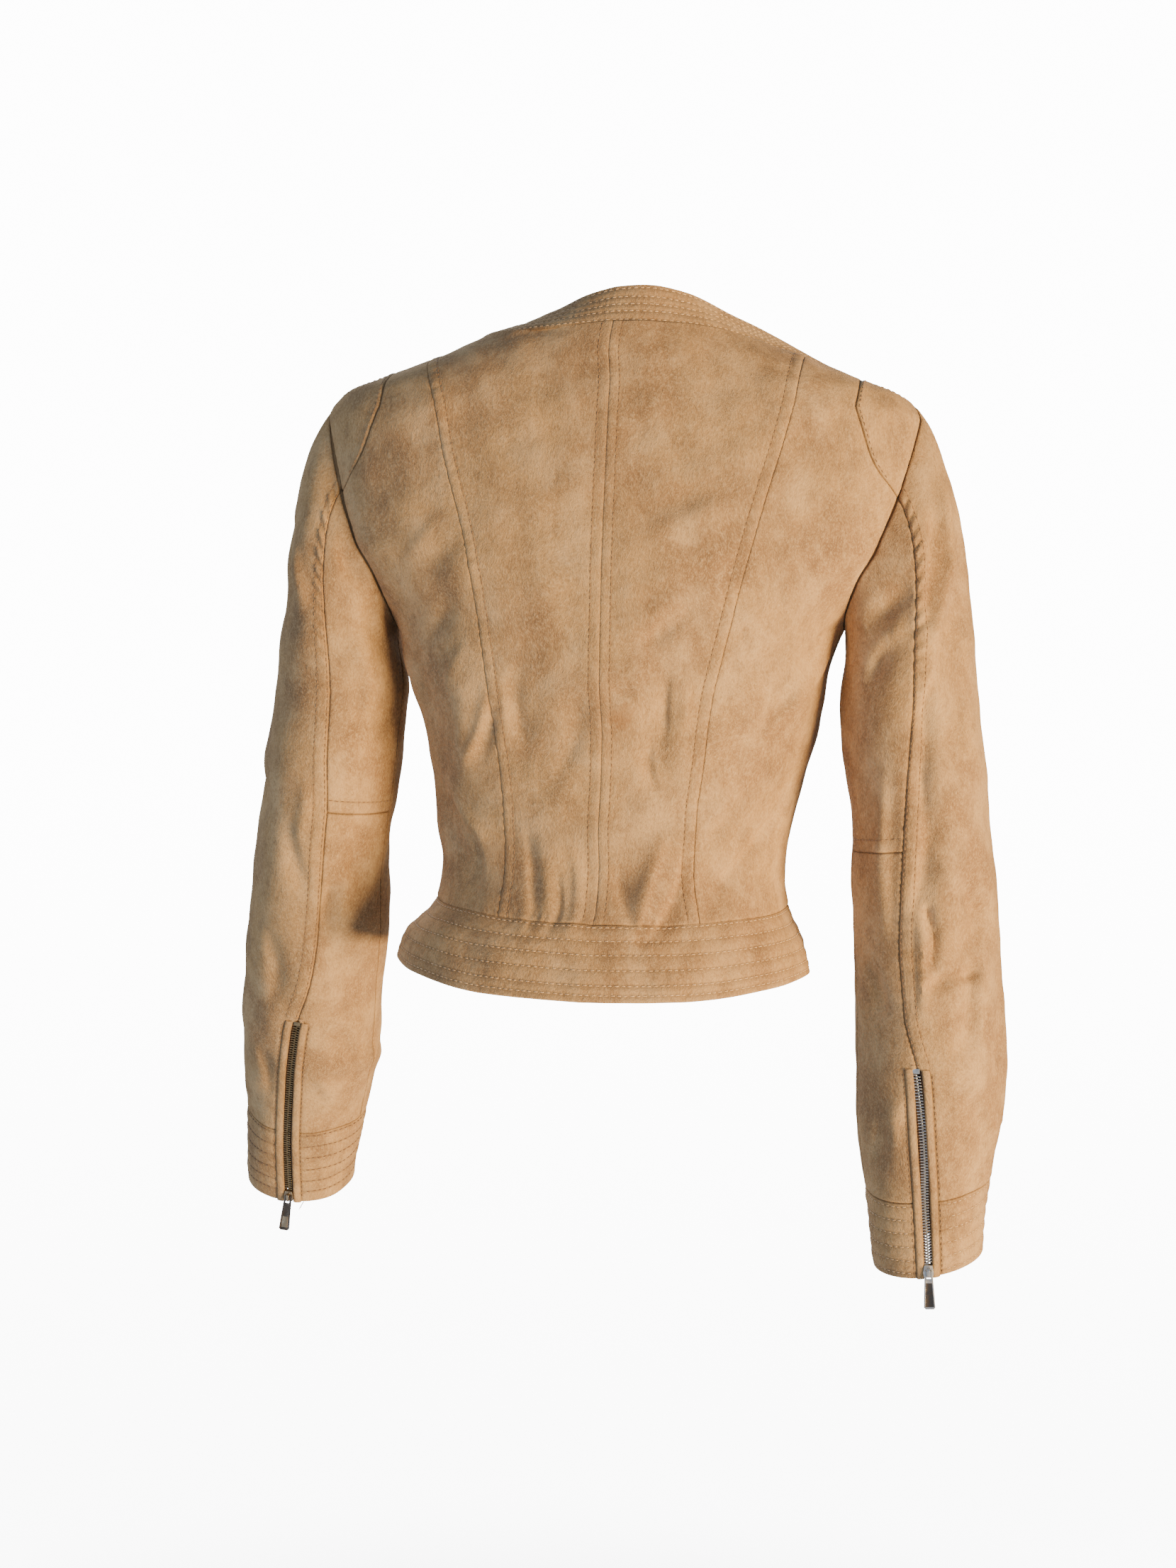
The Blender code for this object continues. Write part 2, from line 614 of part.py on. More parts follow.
def build_front(side, hand):
    shoulder_rows = 6
    top = np.stack([side * FRONT_TOP_ANGLES, RINGS["neck"][side](FRONT_TOP_ANGLES)], axis=-1)
    hole = armhole(side, FRONT_TURNS)
    outer = np.concatenate([
        top_edge(side)(np.linspace(1, 2, shoulder_rows + 1)),
        hole[1:],
        np.stack([np.full(SIDE_ROWS, side * 90.0),
                  np.linspace(hole[-1][1], ring("waist", 90), SIDE_ROWS + 1)[1:]], axis=-1),
    ])
    heights = np.linspace(top[0][1], ring("waist", 0), len(outer))
    inner = front_edge(side, heights)
    inner[0] = top[0]
    bottom = waist_to(side, abs(inner[-1][0]), 90, FRONT_COLS)
    body_piece(f"front_{hand}", patchwork(inner, outer, top, bottom), ("right", "top", "bottom"))


def build_waistband():
    angles = np.linspace(90, 270, BAND_COLS + 1)
    drop = np.linspace(0, 1, BAND_ROWS + 1)[:, None]
    heights = ring("waist", angles) * (1 - drop) + ring("hem", angles) * drop
    grid = np.stack([angles + 0 * heights, heights], axis=-1)
    body_piece("waistband_back", grid, ("left", "right", "top"), BAND)
    for side, hand in HANDS:
        angles = np.linspace(angle_at_offset(SLOT, WAIST_SEAM[0][1]), 90, 14)
        heights = ring("waist", angles) * (1 - drop) + ring("hem", angles) * drop
        grid = np.stack([side * angles + 0 * heights, heights], axis=-1)
        body_piece(f"waistband_front_{hand}", grid, ("right", "top"), BAND)


def neckband_surface(grid):
    """The neckband at rows of (angle, share of its width above the neck seam)."""
    angle, share = grid[..., 0], grid[..., 1]
    turned = np.mod(angle, 360.0)
    seam = body(np.stack([angle, ring("neck", angle)], axis=-1))
    ahead, before = (body(np.stack([angle + d, ring("neck", angle + d)], axis=-1)) for d in (1, -1))
    run = ahead - before
    inward = np.stack([-run[..., 1], run[..., 0], 0 * run[..., 0]], axis=-1)
    inward /= np.linalg.norm(inward, axis=-1, keepdims=True)
    lean = np.where(turned <= 180.0, LEANS[1](turned), LEANS[-1](360.0 - turned))
    lean = np.radians(lean)[..., None]
    rise = np.cos(lean) * inward + np.sin(lean) * np.array([0.0, 0.0, 1.0])
    return seam + rise * (share * BAND_WIDTH)[..., None]


neckband_surface.step = 0.02


def band_normals(grid):
    """Normals of the neckband, shared with the body along their seam."""
    own = normals(neckband_surface, grid, 1)
    seam = np.stack([grid[..., 0], ring("neck", grid[..., 0])], axis=-1)
    share = np.clip(grid[..., 1:2] * 2.0, 0, 1)
    mixed = normals(body, seam, 1) * (1 - share) + own * share
    return mixed / np.linalg.norm(mixed, axis=-1, keepdims=True)


def build_neckband():
    halves = {}
    for side in (1, -1):
        values = np.unique(np.concatenate(top_values(side)))
        behind = 180.0 + values[values <= 1.0] * (SHOULDER_ANGLE - 180.0)
        halves[side] = np.concatenate([FRONT_TOP_ANGLES, behind[::-1][1:]])
    angles = np.concatenate([halves[1], 360.0 - halves[-1][::-1][1:]])
    rise = np.linspace(1, 0, 4)[:, None]
    grid = np.stack([angles + 0 * rise, rise + 0 * angles], axis=-1)
    grid = draw_back(neckband_surface, grid, ("bottom",))
    outer = neckband_surface(grid)
    wall("neckband", outer, outer - band_normals(grid) * BAND, LOOKS["suede"])


# ---- sleeves ----------------------------------------------------------------------------
def opened(side, levels, way):
    """Turn of the back seam's edge: it parts round the zip below the zip's top."""
    levels = np.asarray(levels, float)
    seam = back_seam(side, levels)
    half_depth = ARM[side][3](SLEEVE_TOP + np.clip(levels - 1, 0, 1) * (SLEEVE_END[side] - SLEEVE_TOP))
    part = np.degrees(SLOT / half_depth)
    return seam + way * np.where(levels > level_of(side, ZIP_TOP[side]) + 1e-6, part, 0.0)


SLEEVE_TURNS = np.concatenate([FRONT_TURNS[-2::-1] - 360, PATCH_TURNS[1:], [BACK_SEAM_START]])
UNDER_TURNS = np.append(BACK_TURNS, UNDER_TURN)
ZIP_CORNER = 2.0          # length over which the seam parts at the top of a zip


def sleeve_levels(side):
    """Rows of a sleeve: above the elbow seam, and from there to the cuff seam."""
    elbow, top, cuff = (level_of(side, table[side]) for table in (ELBOW_SEAM, ZIP_TOP, CUFF_SEAM))
    parted = top + ZIP_CORNER / (SLEEVE_TOP - SLEEVE_END[side])
    return runs((0, 1, 8), (1, elbow, 5)), runs((elbow, top, 5), (top, parted, 1), (parted, cuff, 5))


def shares(values):
    return (values - values[0]) / (values[-1] - values[0])


def seat_on_armhole(side, grid, outer, inner, normal):
    """Sets a sleeve piece's top row beside the armhole's edge, clear of the panels."""
    turn = grid[0, :, 0]
    edge = armhole(side, turn)
    here = body(edge)
    out = normals(body, edge, 1)
    ahead = body(armhole(side, turn + 1)) - body(armhole(side, turn - 1))
    ahead /= np.linalg.norm(ahead, axis=-1, keepdims=True)
    across = np.cross(ahead, out)
    across /= np.linalg.norm(across, axis=-1, keepdims=True)
    centre = np.array([side * 180.0, 0.0, -135.0])
    across *= np.sign(np.sum(across * (centre - here), axis=-1, keepdims=True))
    clear = ARMHOLE_SEAM
    outer[0] = here + (across + out) * clear
    inner[0] = outer[0] - normal[0] * PANEL
    short = clear - np.sum((inner[0] - here) * across, axis=-1, keepdims=True)
    inner[0] += across * np.clip(short, 0, None)


def sleeve_piece(side, name, levels, left, right, columns, sides, thickness=PANEL):
    """A piece of a sleeve between two turns, given for each level."""
    surface = SLEEVES[side]
    u = shares(columns)[None, :]
    turns = left[:, None] * (1 - u) + right[:, None] * u
    grid = np.stack([turns, levels[:, None] + 0 * turns], axis=-1)
    grid = draw_back(surface, grid, sides)
    outer = surface(grid)
    normal = normals(surface, grid, -side)
    inner = outer - normal * thickness
    if levels[0] == 0:
        seat_on_armhole(side, grid, outer, inner, normal)
    wall(name, outer, inner, LOOKS["suede"])


def build_sleeve(side, hand):
    high, low = sleeve_levels(side)
    whole = np.concatenate([high, low[1:]])
    sleeve_piece(side, f"sleeve_upper_{hand}", whole, UNDER(whole) - 360.0, opened(side, whole, -1),
                 SLEEVE_TURNS, ("left", "right", "bottom"))
    sleeve_piece(side, f"sleeve_under_top_{hand}", high, back_seam(side, high), UNDER(high),
                 UNDER_TURNS, ("left", "right", "bottom"))
    sleeve_piece(side, f"sleeve_under_low_{hand}", low, opened(side, low, 1), UNDER(low),
                 UNDER_TURNS, ("left", "right", "top", "bottom"))
    levels = np.linspace(low[-1], 2.0, 5)
    sleeve_piece(side, f"cuff_{hand}", levels, opened(side, levels, 1) - 360.0,
                 opened(side, levels, -1), np.arange(27.0), ("top",), BAND)


# ---- zips -------------------------------------------------------------------------------
def strip(name, place, stations, span, depth, material):
    """A strip along a zip: place(station, offset) gives its points and normals."""
    offsets = np.array(span)
    points, out = place(stations[:, None] + 0 * offsets, offsets[None, :] + 0 * stations[:, None])
    return wall(name, points - out * depth[0], points - out * depth[1], material)


def cuff_place(side):
    """Points beside a cuff zip: station is a level of the sleeve, offset is in mm."""
    def at(level, offset):
        height = SLEEVE_TOP + np.clip(level - 1, 0, 1) * (SLEEVE_END[side] - SLEEVE_TOP)
        turn = back_seam(side, level) + np.degrees(offset / ARM[side][3](height))
        grid = np.stack([turn, level], axis=-1)
        return SLEEVES[side](grid), normals(SLEEVES[side], grid, -side)
    return at


def front_place(station, offset):
    """Points beside the front zip: station is a height, or above the neck seam the
    seam's height plus the distance up the neckband."""
    seam = float(ring("neck", 0))
    on_body = np.minimum(station, seam)
    side = np.where(offset < 0, -1.0, 1.0)
    half = np.abs(offset)
    angle = side * angle_at_offset(half, on_body)
    grid = np.stack([angle, on_body], axis=-1)
    lower, lower_out = body(grid), normals(body, grid, 1)
    band = np.stack([angle, np.clip(station - seam, 0, None) / BAND_WIDTH], axis=-1)
    upper, upper_out = neckband_surface(band), band_normals(band)
    above = (station > seam)[..., None]
    return np.where(above, upper, lower), np.where(above, upper_out, lower_out)


def build_zip(name, place, tape_stations, chain_stations):
    clear = CHAIN + 0.3
    strip(f"{name}_tape_a", place, tape_stations, np.linspace(clear, TAPE, 3), TAPE_DEPTH, LOOKS["tape"])
    strip(f"{name}_tape_b", place, tape_stations, np.linspace(-TAPE, -clear, 3), TAPE_DEPTH, LOOKS["tape"])
    strip(f"{name}_chain", place, chain_stations, np.array((-CHAIN, CHAIN)), CHAIN_DEPTH, LOOKS["nickel"])


def zip_frame(place, station, ahead):
    """Frame on a zip: x across, y along towards ahead, z out of the garment."""
    here, out = (v.reshape(3) for v in place(np.array([[station]]), np.array([[0.0]])))
    there = place(np.array([[ahead]]), np.array([[0.0]]))[0].reshape(3)
    out = Vector(out).normalized()
    along = Vector(there - here)
    along = (along - out * along.dot(out)).normalized()
    across = along.cross(out)
    frame = Matrix((across, along, out)).transposed().to_4x4()
    frame.translation = Vector(here) * MM
    return frame


# The slider and its pull, in the slider's own frame: x across, y along, z out.
PLATE = (-2.5, 0.6)        # the slider's body, below and above the cloth's face
PLATE_HALF = (3.6, 2.7)    # half width at its mouth and at its tail
ARCH_HALF, ARCH_BAR = 3.1, 0.9
ARCH_HEIGHT = 3.0          # of the opening under the arch's top
ARCH_WIDTH = 2.0
PIN_HEIGHT, PIN_RADIUS = 1.75, 0.6
PULL_THICK = 1.1
PULL_LENGTH = 25.0
PULL_HALF = (2.7, 3.9)     # half width at its top and at its end
WINDOW_HALF, WINDOW_END = 1.45, 4.4


def prism(data, outline, low, high, axis=2):
    """A straight prism with an outline of (a, b) points, between two heights."""
    def place(a, b, h):
        return (a, b, h) if axis == 2 else (h, a, b)
    ends = [[data.verts.new(Vector(place(a, b, h)) * MM) for a, b in outline] for h in (low, high)]
    data.faces.new(ends[0])
    data.faces.new(ends[1])
    for i in range(len(outline)):
        j = (i + 1) % len(outline)
        data.faces.new((ends[0][i], ends[0][j], ends[1][j], ends[1][i]))
    bmesh.ops.recalc_face_normals(data, faces=data.faces)


def union(name, pieces, material):
    """One solid from prisms that meet, joined by Boolean unions."""
    things = []
    for i, (outline, low, high, axis) in enumerate(pieces):
        data = bmesh.new()
        prism(data, outline, low, high, axis)
        things.append(add_object(name if i == 0 else f"{name}_tool_{i}", data, material))
    base = things[0]
    for tool in things[1:]:
        joint = base.modifiers.new("join", "BOOLEAN")
        joint.operation = "UNION"
        joint.object = tool
        tool.hide_render = True
        tool.display_type = "WIRE"
    return base


def slider_pieces(mouth):
    """Body of a slider with the arch that holds its pull; mouth is +1 or -1 along y."""
    half = SLIDER_LENGTH / 2
    wide, narrow = PLATE_HALF
    body_outline = [(-narrow, -half * mouth), (narrow, -half * mouth), (wide, half * mouth * 0.2),
                    (wide - 0.5, half * mouth), (-wide + 0.5, half * mouth), (-wide, half * mouth * 0.2)]
    low, top = PLATE[1] - 0.4, ARCH_HEIGHT + ARCH_BAR
    inside = ARCH_HALF - ARCH_BAR
    arch = [(-ARCH_HALF, low), (-inside, low), (-inside, ARCH_HEIGHT - 0.5), (-inside + 0.5, ARCH_HEIGHT),
            (inside - 0.5, ARCH_HEIGHT), (inside, ARCH_HEIGHT - 0.5), (inside, low), (ARCH_HALF, low),
            (ARCH_HALF, top - 0.8), (ARCH_HALF - 0.8, top), (-ARCH_HALF + 0.8, top), (-ARCH_HALF, top - 0.8)]
    return [(body_outline, PLATE[0], PLATE[1], 2), (arch, -ARCH_WIDTH / 2, ARCH_WIDTH / 2, 0)]


def pull_mesh():
    """A pull hanging down -z from its pin: a pin, two arms, a window and a tab."""
    data = bmesh.new()
    top, end = PULL_HALF
    shoulder = 0.9
    outline = [(-top, shoulder), (-WINDOW_HALF, shoulder), (-WINDOW_HALF, -WINDOW_END),
               (WINDOW_HALF, -WINDOW_END), (WINDOW_HALF, shoulder), (top, shoulder),
               (top + 0.2, -WINDOW_END), (end, -PULL_LENGTH + 1.2), (end - 1.2, -PULL_LENGTH),
               (-end + 1.2, -PULL_LENGTH), (-end, -PULL_LENGTH + 1.2), (-top - 0.2, -WINDOW_END)]
    half = PULL_THICK / 2
    rings = [[data.verts.new(Vector((a, h, b)) * MM) for a, b in outline] for h in (-half, half)]
    data.faces.new(rings[0])
    data.faces.new(rings[1])
    for i in range(len(outline)):
        j = (i + 1) % len(outline)
        data.faces.new((rings[0][i], rings[0][j], rings[1][j], rings[1][i]))
    bmesh.ops.recalc_face_normals(data, faces=data.faces)
    return data


def build_pull(name, frame, hang, material):
    """A pull on its pin: hang turns it about the pin from straight along the slider."""
    pull = add_object(name, pull_mesh(), material)
    data = bmesh.new()
    sides = 10
    circle = [(PIN_RADIUS * math.cos(2 * math.pi * i / sides), PIN_RADIUS * math.sin(2 * math.pi * i / sides))
              for i in range(sides)]
    reach = WINDOW_HALF + 0.5
    prism(data, circle, -reach, reach, axis=0)
    pin = add_object(f"{name}_pin", data, material)
    joint = pull.modifiers.new("pin", "BOOLEAN")
    joint.operation = "UNION"
    joint.object = pin
    pin.hide_render = True
    pin.display_type = "WIRE"
    pivot = frame @ Matrix.Translation(Vector((0, 0, PIN_HEIGHT * MM)))
    # the pull hangs down its own -z: set that along the slider's +y, then swing it out
    turned = pivot @ Matrix.Rotation(math.radians(90) + hang, 4, "X")
    pull.matrix_world = turned
    pin.matrix_world = turned
    return pull


def build_cuff_zip(side, hand):
    place = cuff_place(side)
    length = SLEEVE_TOP - SLEEVE_END[side]
    top = level_of(side, ZIP_TOP[side])
    mm = 1.0 / length
    slider_middle = 2.0 - (HEM_TO_SLIDER + SLIDER_LENGTH / 2) * mm
    slider_start = slider_middle - SLIDER_LENGTH / 2 * mm
    build_zip(f"cuff_zip_{hand}", place,
              np.linspace(top - TAPE_OVER * mm, 2.0 - 0.3 * mm, 11),
              np.linspace(top + 4.0 * mm, slider_start - CHAIN_TO_SLIDER * mm, 10))
    frame = zip_frame(place, slider_middle, slider_middle + 4 * mm)
    slider = union(f"cuff_slider_{hand}", slider_pieces(1), LOOKS["steel"])
    for part in [slider] + [m.object for m in slider.modifiers]:
        part.matrix_world = frame
    along = frame.to_3x3().col[1]
    out = frame.to_3x3().col[2]
    down = Vector((0, 0, -1))
    hang = math.atan2(down.dot(out), down.dot(along))
    build_pull(f"cuff_pull_{hand}", frame, hang, LOOKS["steel"])


def build_front_zip():
    seam = float(ring("neck", 0))
    hem = float(ring("hem", 0))
    box_top = hem + 8.0
    top = seam + BAND_WIDTH
    slider_middle = top - 1.0 - SLIDER_LENGTH / 2
    body_part = np.linspace(hem + 0.3, seam - 0.5, 21)
    band_part = np.array((seam + 3.0, seam + 10.0, seam + 18.0))
    build_zip("front_zip", front_place,
              np.concatenate([body_part, band_part, [top - 0.3]]),
              np.concatenate([[box_top + 0.3], body_part[1:], band_part[:2],
                              [slider_middle - SLIDER_LENGTH / 2 - CHAIN_TO_SLIDER]]))
    strip("front_zip_box", front_place, np.array((hem + 1.0, box_top)), np.array((-3.6, 3.6)),
          (0.2, 2.5), LOOKS["nickel"])
    frame = zip_frame(front_place, slider_middle, slider_middle - 3.0)
    slider = union("front_slider", slider_pieces(-1), LOOKS["steel"])
    for part in [slider] + [m.object for m in slider.modifiers]:
        part.matrix_world = frame
    build_pull("front_pull", frame, 0.0, LOOKS["steel"])


# ---- the jacket ---------------------------------------------------------------------------
def clear_scene():
    for thing in list(bpy.data.objects):
        bpy.data.objects.remove(thing, do_unlink=True)


def material(name, colour, roughness, metallic=0.0):
    made = bpy.data.materials.new(name)
    made.use_nodes = True
    shader = made.node_tree.nodes["Principled BSDF"]
    shader.inputs["Base Color"].default_value = colour
    shader.inputs["Roughness"].default_value = roughness
    shader.inputs["Metallic"].default_value = metallic
    made.diffuse_color = colour
    return made


clear_scene()
HANDS = ((1, "left"), (-1, "right"))
LOOKS = {
    "suede": material("suede", SUEDE, 0.92),
    "tape": material("zip_tape", TAPE_CLOTH, 0.85),
    "nickel": material("nickel_teeth", NICKEL, 0.35, 1.0),
    "steel": material("dark_nickel", STEEL, 0.3, 1.0),
}
for side, hand in HANDS:
    build_back(side, hand)
    build_front(side, hand)
    build_sleeve(side, hand)
    build_cuff_zip(side, hand)
build_neckband()
build_waistband()
build_front_zip()
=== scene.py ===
# A women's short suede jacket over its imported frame. Lengths are in millimetres and
# angles in degrees until a mesh is made. Front is -Y, the wearer's left is +X.
import json
import math
import bmesh
import bpy
import numpy as np
from mathutils import Matrix, Vector


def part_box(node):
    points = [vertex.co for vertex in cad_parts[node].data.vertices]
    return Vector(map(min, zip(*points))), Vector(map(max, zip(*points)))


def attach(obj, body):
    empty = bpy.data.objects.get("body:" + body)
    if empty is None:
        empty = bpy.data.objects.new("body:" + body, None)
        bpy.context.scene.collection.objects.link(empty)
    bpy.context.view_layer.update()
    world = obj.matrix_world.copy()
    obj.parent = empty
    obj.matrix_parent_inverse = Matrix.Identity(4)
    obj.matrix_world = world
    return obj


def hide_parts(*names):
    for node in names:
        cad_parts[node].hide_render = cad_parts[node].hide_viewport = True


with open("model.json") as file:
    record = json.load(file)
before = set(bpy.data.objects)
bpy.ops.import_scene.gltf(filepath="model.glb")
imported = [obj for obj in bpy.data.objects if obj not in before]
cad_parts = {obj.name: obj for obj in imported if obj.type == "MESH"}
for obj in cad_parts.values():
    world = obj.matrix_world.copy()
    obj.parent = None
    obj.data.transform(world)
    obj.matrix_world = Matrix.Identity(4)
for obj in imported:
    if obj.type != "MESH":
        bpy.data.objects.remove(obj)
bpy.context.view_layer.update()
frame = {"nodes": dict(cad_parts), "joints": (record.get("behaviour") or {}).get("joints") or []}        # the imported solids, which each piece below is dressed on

mm = 0.001
hands = ((1, "left"), (-1, "right"))
print("frame loaded:", len(frame["nodes"]), "nodes")

# the form of the jacket, as it was cut and as it hangs
bodyForm = {
    "sections": (    # height, half, ridge, back, front, square back, square front, sway
        (12, 84, 13, 62, -36, 2.0, 2.0, 0), (-11, 93, 12, 68, -46, 2.0, 2.0, 0),
        (-18, 100, 11, 71, -50, 2.0, 2.0, 0.5), (-26, 118, 10, 74, -55, 2.0, 2.0, 1.5),
        (-36, 145, 9, 77, -59, 2.0, 2.0, 2), (-46, 170, 8, 79, -64, 2.1, 2.0, 1),
        (-58, 196, 6, 82, -69, 2.2, 2.0, 0), (-74, 206, 4, 86, -75, 2.35, 2.0, 0),
        (-95, 207, 3, 89, -84, 2.4, 2.0, 0), (-125, 203, 2, 94, -99, 2.4, 2.0, 0),
        (-161, 192, 1, 97, -117, 2.4, 2.0, 0), (-186, 175, 0, 98, -127, 2.3, 2.0, 0),
        (-212, 156, 0, 96.5, -131, 2.2, 2.15, 0), (-230, 149, 0, 94.5, -131, 2.2, 2.2, 0),
        (-252, 144, -1, 92, -127, 2.2, 2.2, 0), (-289, 133.5, -3, 86, -114, 2.2, 2.2, -2),
        (-321, 127.5, -5, 81, -105, 2.2, 2.2, -1.5), (-348, 123.5, -6, 78, -100, 2.2, 2.2, -0.5),
        (-377, 119.5, -6, 78, -99, 2.2, 2.2, -1.5), (-403, 123, -5, 84, -101, 2.2, 2.2, -1),
        (-428, 139, -3, 94, -105, 2.2, 2.2, 4), (-465, 147, 0, 106, -109, 2.2, 2.2, 5),
    ),
    "neck": (        # angle from the centre front, height on the left, on the right
        (0, -90, -90), (3, -89.4, -89.4), (11, -80, -84), (19, -62, -76), (31, -41, -64),
        (42, -30, -56), (57, -22, -48), (75, -17, -42), (94, -16, -37), (108, -17, -30),
        (121, -18, -22.5), (135, -19, -18), (150, -18.5, -16.5), (166, -17.5, -16), (180, -16, -16),
    ),
    "waist": ((0, -400, -400), (45, -399, -399), (90, -402, -402), (125, -406, -406),
              (155, -410, -410), (180, -412, -412)),
    "hem": ((0, -450, -450), (45, -446, -447), (90, -444, -446), (125, -451, -452),
            (155, -459, -459), (180, -461, -461)),
    "folds": (       # angle, height, angle, height, half width, rise
        (141, -250, 131, -322, 13, 4.0), (121, -232, 117, -300, 11, -3.0),
        (106, -318, 137, -398, 11, -4.5), (165, -262, 158, -330, 14, -3.0),
        (163, -352, 168, -412, 10, 2.5), (-167, -248, -166, -318, 10, -3.0),
        (-160, -360, -168, -412, 11, 3.5), (-112, -322, -146, -396, 12, -5.0),
        (-124, -238, -110, -290, 12, 3.0), (72, -330, 40, -392, 13, -5.0),
        (88, -262, 60, -330, 15, 3.5), (-70, -322, -42, -396, 13, -5.0),
        (-86, -266, -56, -338, 14, 3.5), (26, -262, 18, -376, 15, -3.5),
        (-24, -276, -20, -388, 14, -3.5),
    ),
    "degree": 2.0,   # mm of cloth to a degree round the body
}
cutLines = {
    "shoulder": 94.0,
    "princess": (    # height, distance from the centre back on the left, on the right
        (-412, 66, 69), (-376, 64, 63), (-341, 65, 64), (-306, 69, 68), (-272, 74, 72),
        (-214, 83, 84), (-162, 93, 97), (-130, 102, 105), (-100, 111, 113), (-70, 118, 120)),
    "princessStart": {1: 1.33, -1: 0.86},     # along the top edge: 1 neck point, 2 shoulder tip
    "patchStart": {1: 1.54, -1: 1.28},
    "patch": ((-127, 190), (-122, 186), (-106, 173), (-90, 166), (-70, 159)),
    "patchEnd": (68.0, 74.0),      # turns of the armhole where its lower end lies
    "princessAngle": 158.0,        # where the waist is taken for its foot
    "crowding": 1.5,               # rows of the grid lie closer towards the neck by this power
    "backHole": ((0.37, 74), (0.6, 180)),      # share of the back's outer edge, turn of the armhole
    "frontHole": ((0.2, 360), (17 / 30, 194), (0.6, 180)),
    "shoulderJoin": -70.0,
    "armhole": (     # turn from the shoulder tip, how far back, height
        (0, 12, -61), (25, 28, -78), (50, 39, -100), (75, 45, -128), (100, 49, -155),
        (125, 46, -181), (150, 30, -203), (180, 0, -213), (210, -24, -204), (235, -39, -185),
        (260, -46, -159), (285, -43, -128), (310, -31, -98), (335, -10, -73)),
    "backSeamStart": 74.0,
    "underSeam": ((0, 194), (1, 172), (1.5, 168), (2, 168)),
}
sleeveForm = {
    1: {
        "rings": (   # height, out, back, half width, half depth, back seam, slant
            (-262, 195.5, -3, 46.5, 57, 98, 0), (-300, 200, -5, 47.5, 56, 101, 0),
            (-340, 205.5, -9, 47.5, 54, 107, 0), (-375, 210.5, -15.5, 48.5, 53, 108, 0),
            (-410, 214.5, -25, 50, 52, 107, 0), (-450, 219, -39, 51, 51, 102, 0),
            (-490, 225, -55, 51, 49, 91.5, 0), (-530, 231.5, -72.5, 50, 46, 89, -1.5),
            (-571, 238.5, -90, 45.5, 41.5, 89, -5), (-631, 248.5, -117, 41, 36, 93, -5)),
        "folds": (
            (-6, -178, 42, -218, 15, -4.5), (50, -150, 78, -235, 12, 3.0),
            (268, -318, 196, -352, 11, -5.0), (300, -352, 214, -338, 10, -4.0),
            (288, -334, 236, -344, 9, 3.0), (150, -344, 128, -398, 12, -4.0),
            (118, -412, 152, -470, 14, -3.0), (20, -330, 48, -410, 16, -3.0)),
        "end": -631.0, "cuff": -571.0, "elbow": -338.0, "zipTop": -479.0,
    },
    -1: {
        "rings": (
            (-262, 201, 0, 47, 57, 89, 0), (-300, 205, 1, 47.5, 56, 96, 0),
            (-340, 210, 2, 47, 54, 104, 0), (-380, 214, 1, 48, 53, 110, 0),
            (-420, 218, -1, 49.5, 52, 114, 0), (-460, 221, -5, 50, 51, 112, 0),
            (-500, 222.5, -10, 51, 50, 101, 0), (-540, 223, -15, 49.5, 48, 97, 2),
            (-589, 223.5, -24, 43, 43.5, 92.5, 5.5), (-644, 225.5, -33, 37, 39, 90, 6)),
        "folds": (
            (36, -168, 58, -300, 11, -4.0), (66, -158, 88, -330, 12, 3.0),
            (122, -222, 92, -200, 10, -3.5), (272, -352, 204, -384, 11, -4.5),
            (296, -382, 226, -372, 10, -3.5), (40, -384, 60, -432, 11, -4.5),
            (68, -424, 22, -406, 12, -4.0), (18, -428, 34, -520, 14, -3.5)),
        "end": -644.0, "cuff": -589.0, "elbow": -357.0, "zipTop": -497.0,
    },
}
sleeveTop = -262.0       # the armpit's level, where the rings start
sleeveDegree = 0.9       # mm of cloth to a degree round a sleeve
sleeveStart = -60.0      # turns on a sleeve run a whole circle from here
capForm = {              # how the sleeve's cap leaves the armhole and comes down to the arm
    "out": (0.55, 0.1), "back": 0.3, "down": 0.75,      # its first direction, with the change round it
    "first": (29.0, 17.0), "last": (50.0, 30.0),        # mm to the curve's handles, with their change
}


def curveThrough(table, index, cyclic=False):
    rows = sorted(table)
    if cyclic:      # a few rows more at both ends
        before = [(row[0] - 360, *row[1:]) for row in rows[-3:]]
        rows = before + rows + [(row[0] + 360, *row[1:]) for row in rows[:3]]
    x = np.array([row[0] for row in rows], float)
    y = np.array([row[index] for row in rows], float)
    step = np.diff(x)
    rise = np.diff(y) / step
    slope = np.empty(len(x))
    slope[0], slope[-1] = rise[0], rise[-1]
    for i in range(1, len(x) - 1):
        if cyclic:
            slope[i] = (rise[i - 1] * step[i] + rise[i] * step[i - 1]) / (step[i - 1] + step[i])
        elif rise[i - 1] * rise[i] <= 0:      # stays between its neighbours
            slope[i] = 0.0
        else:
            near, far = 2 * step[i] + step[i - 1], step[i] + 2 * step[i - 1]
            slope[i] = (near + far) / (near / rise[i - 1] + far / rise[i])

    def at(value):
        value = np.mod(value, 360.0) if cyclic else np.clip(value, x[0], x[-1])
        k = np.clip(np.searchsorted(x, value, side="right") - 1, 0, len(step) - 1)
        t = (value - x[k]) / step[k]
        start = y[k] * (1 + 2 * t) * (1 - t) ** 2 + y[k + 1] * t * t * (3 - 2 * t)
        return start + step[k] * t * (1 - t) * (slope[k] * (1 - t) - slope[k + 1] * t)

    return at


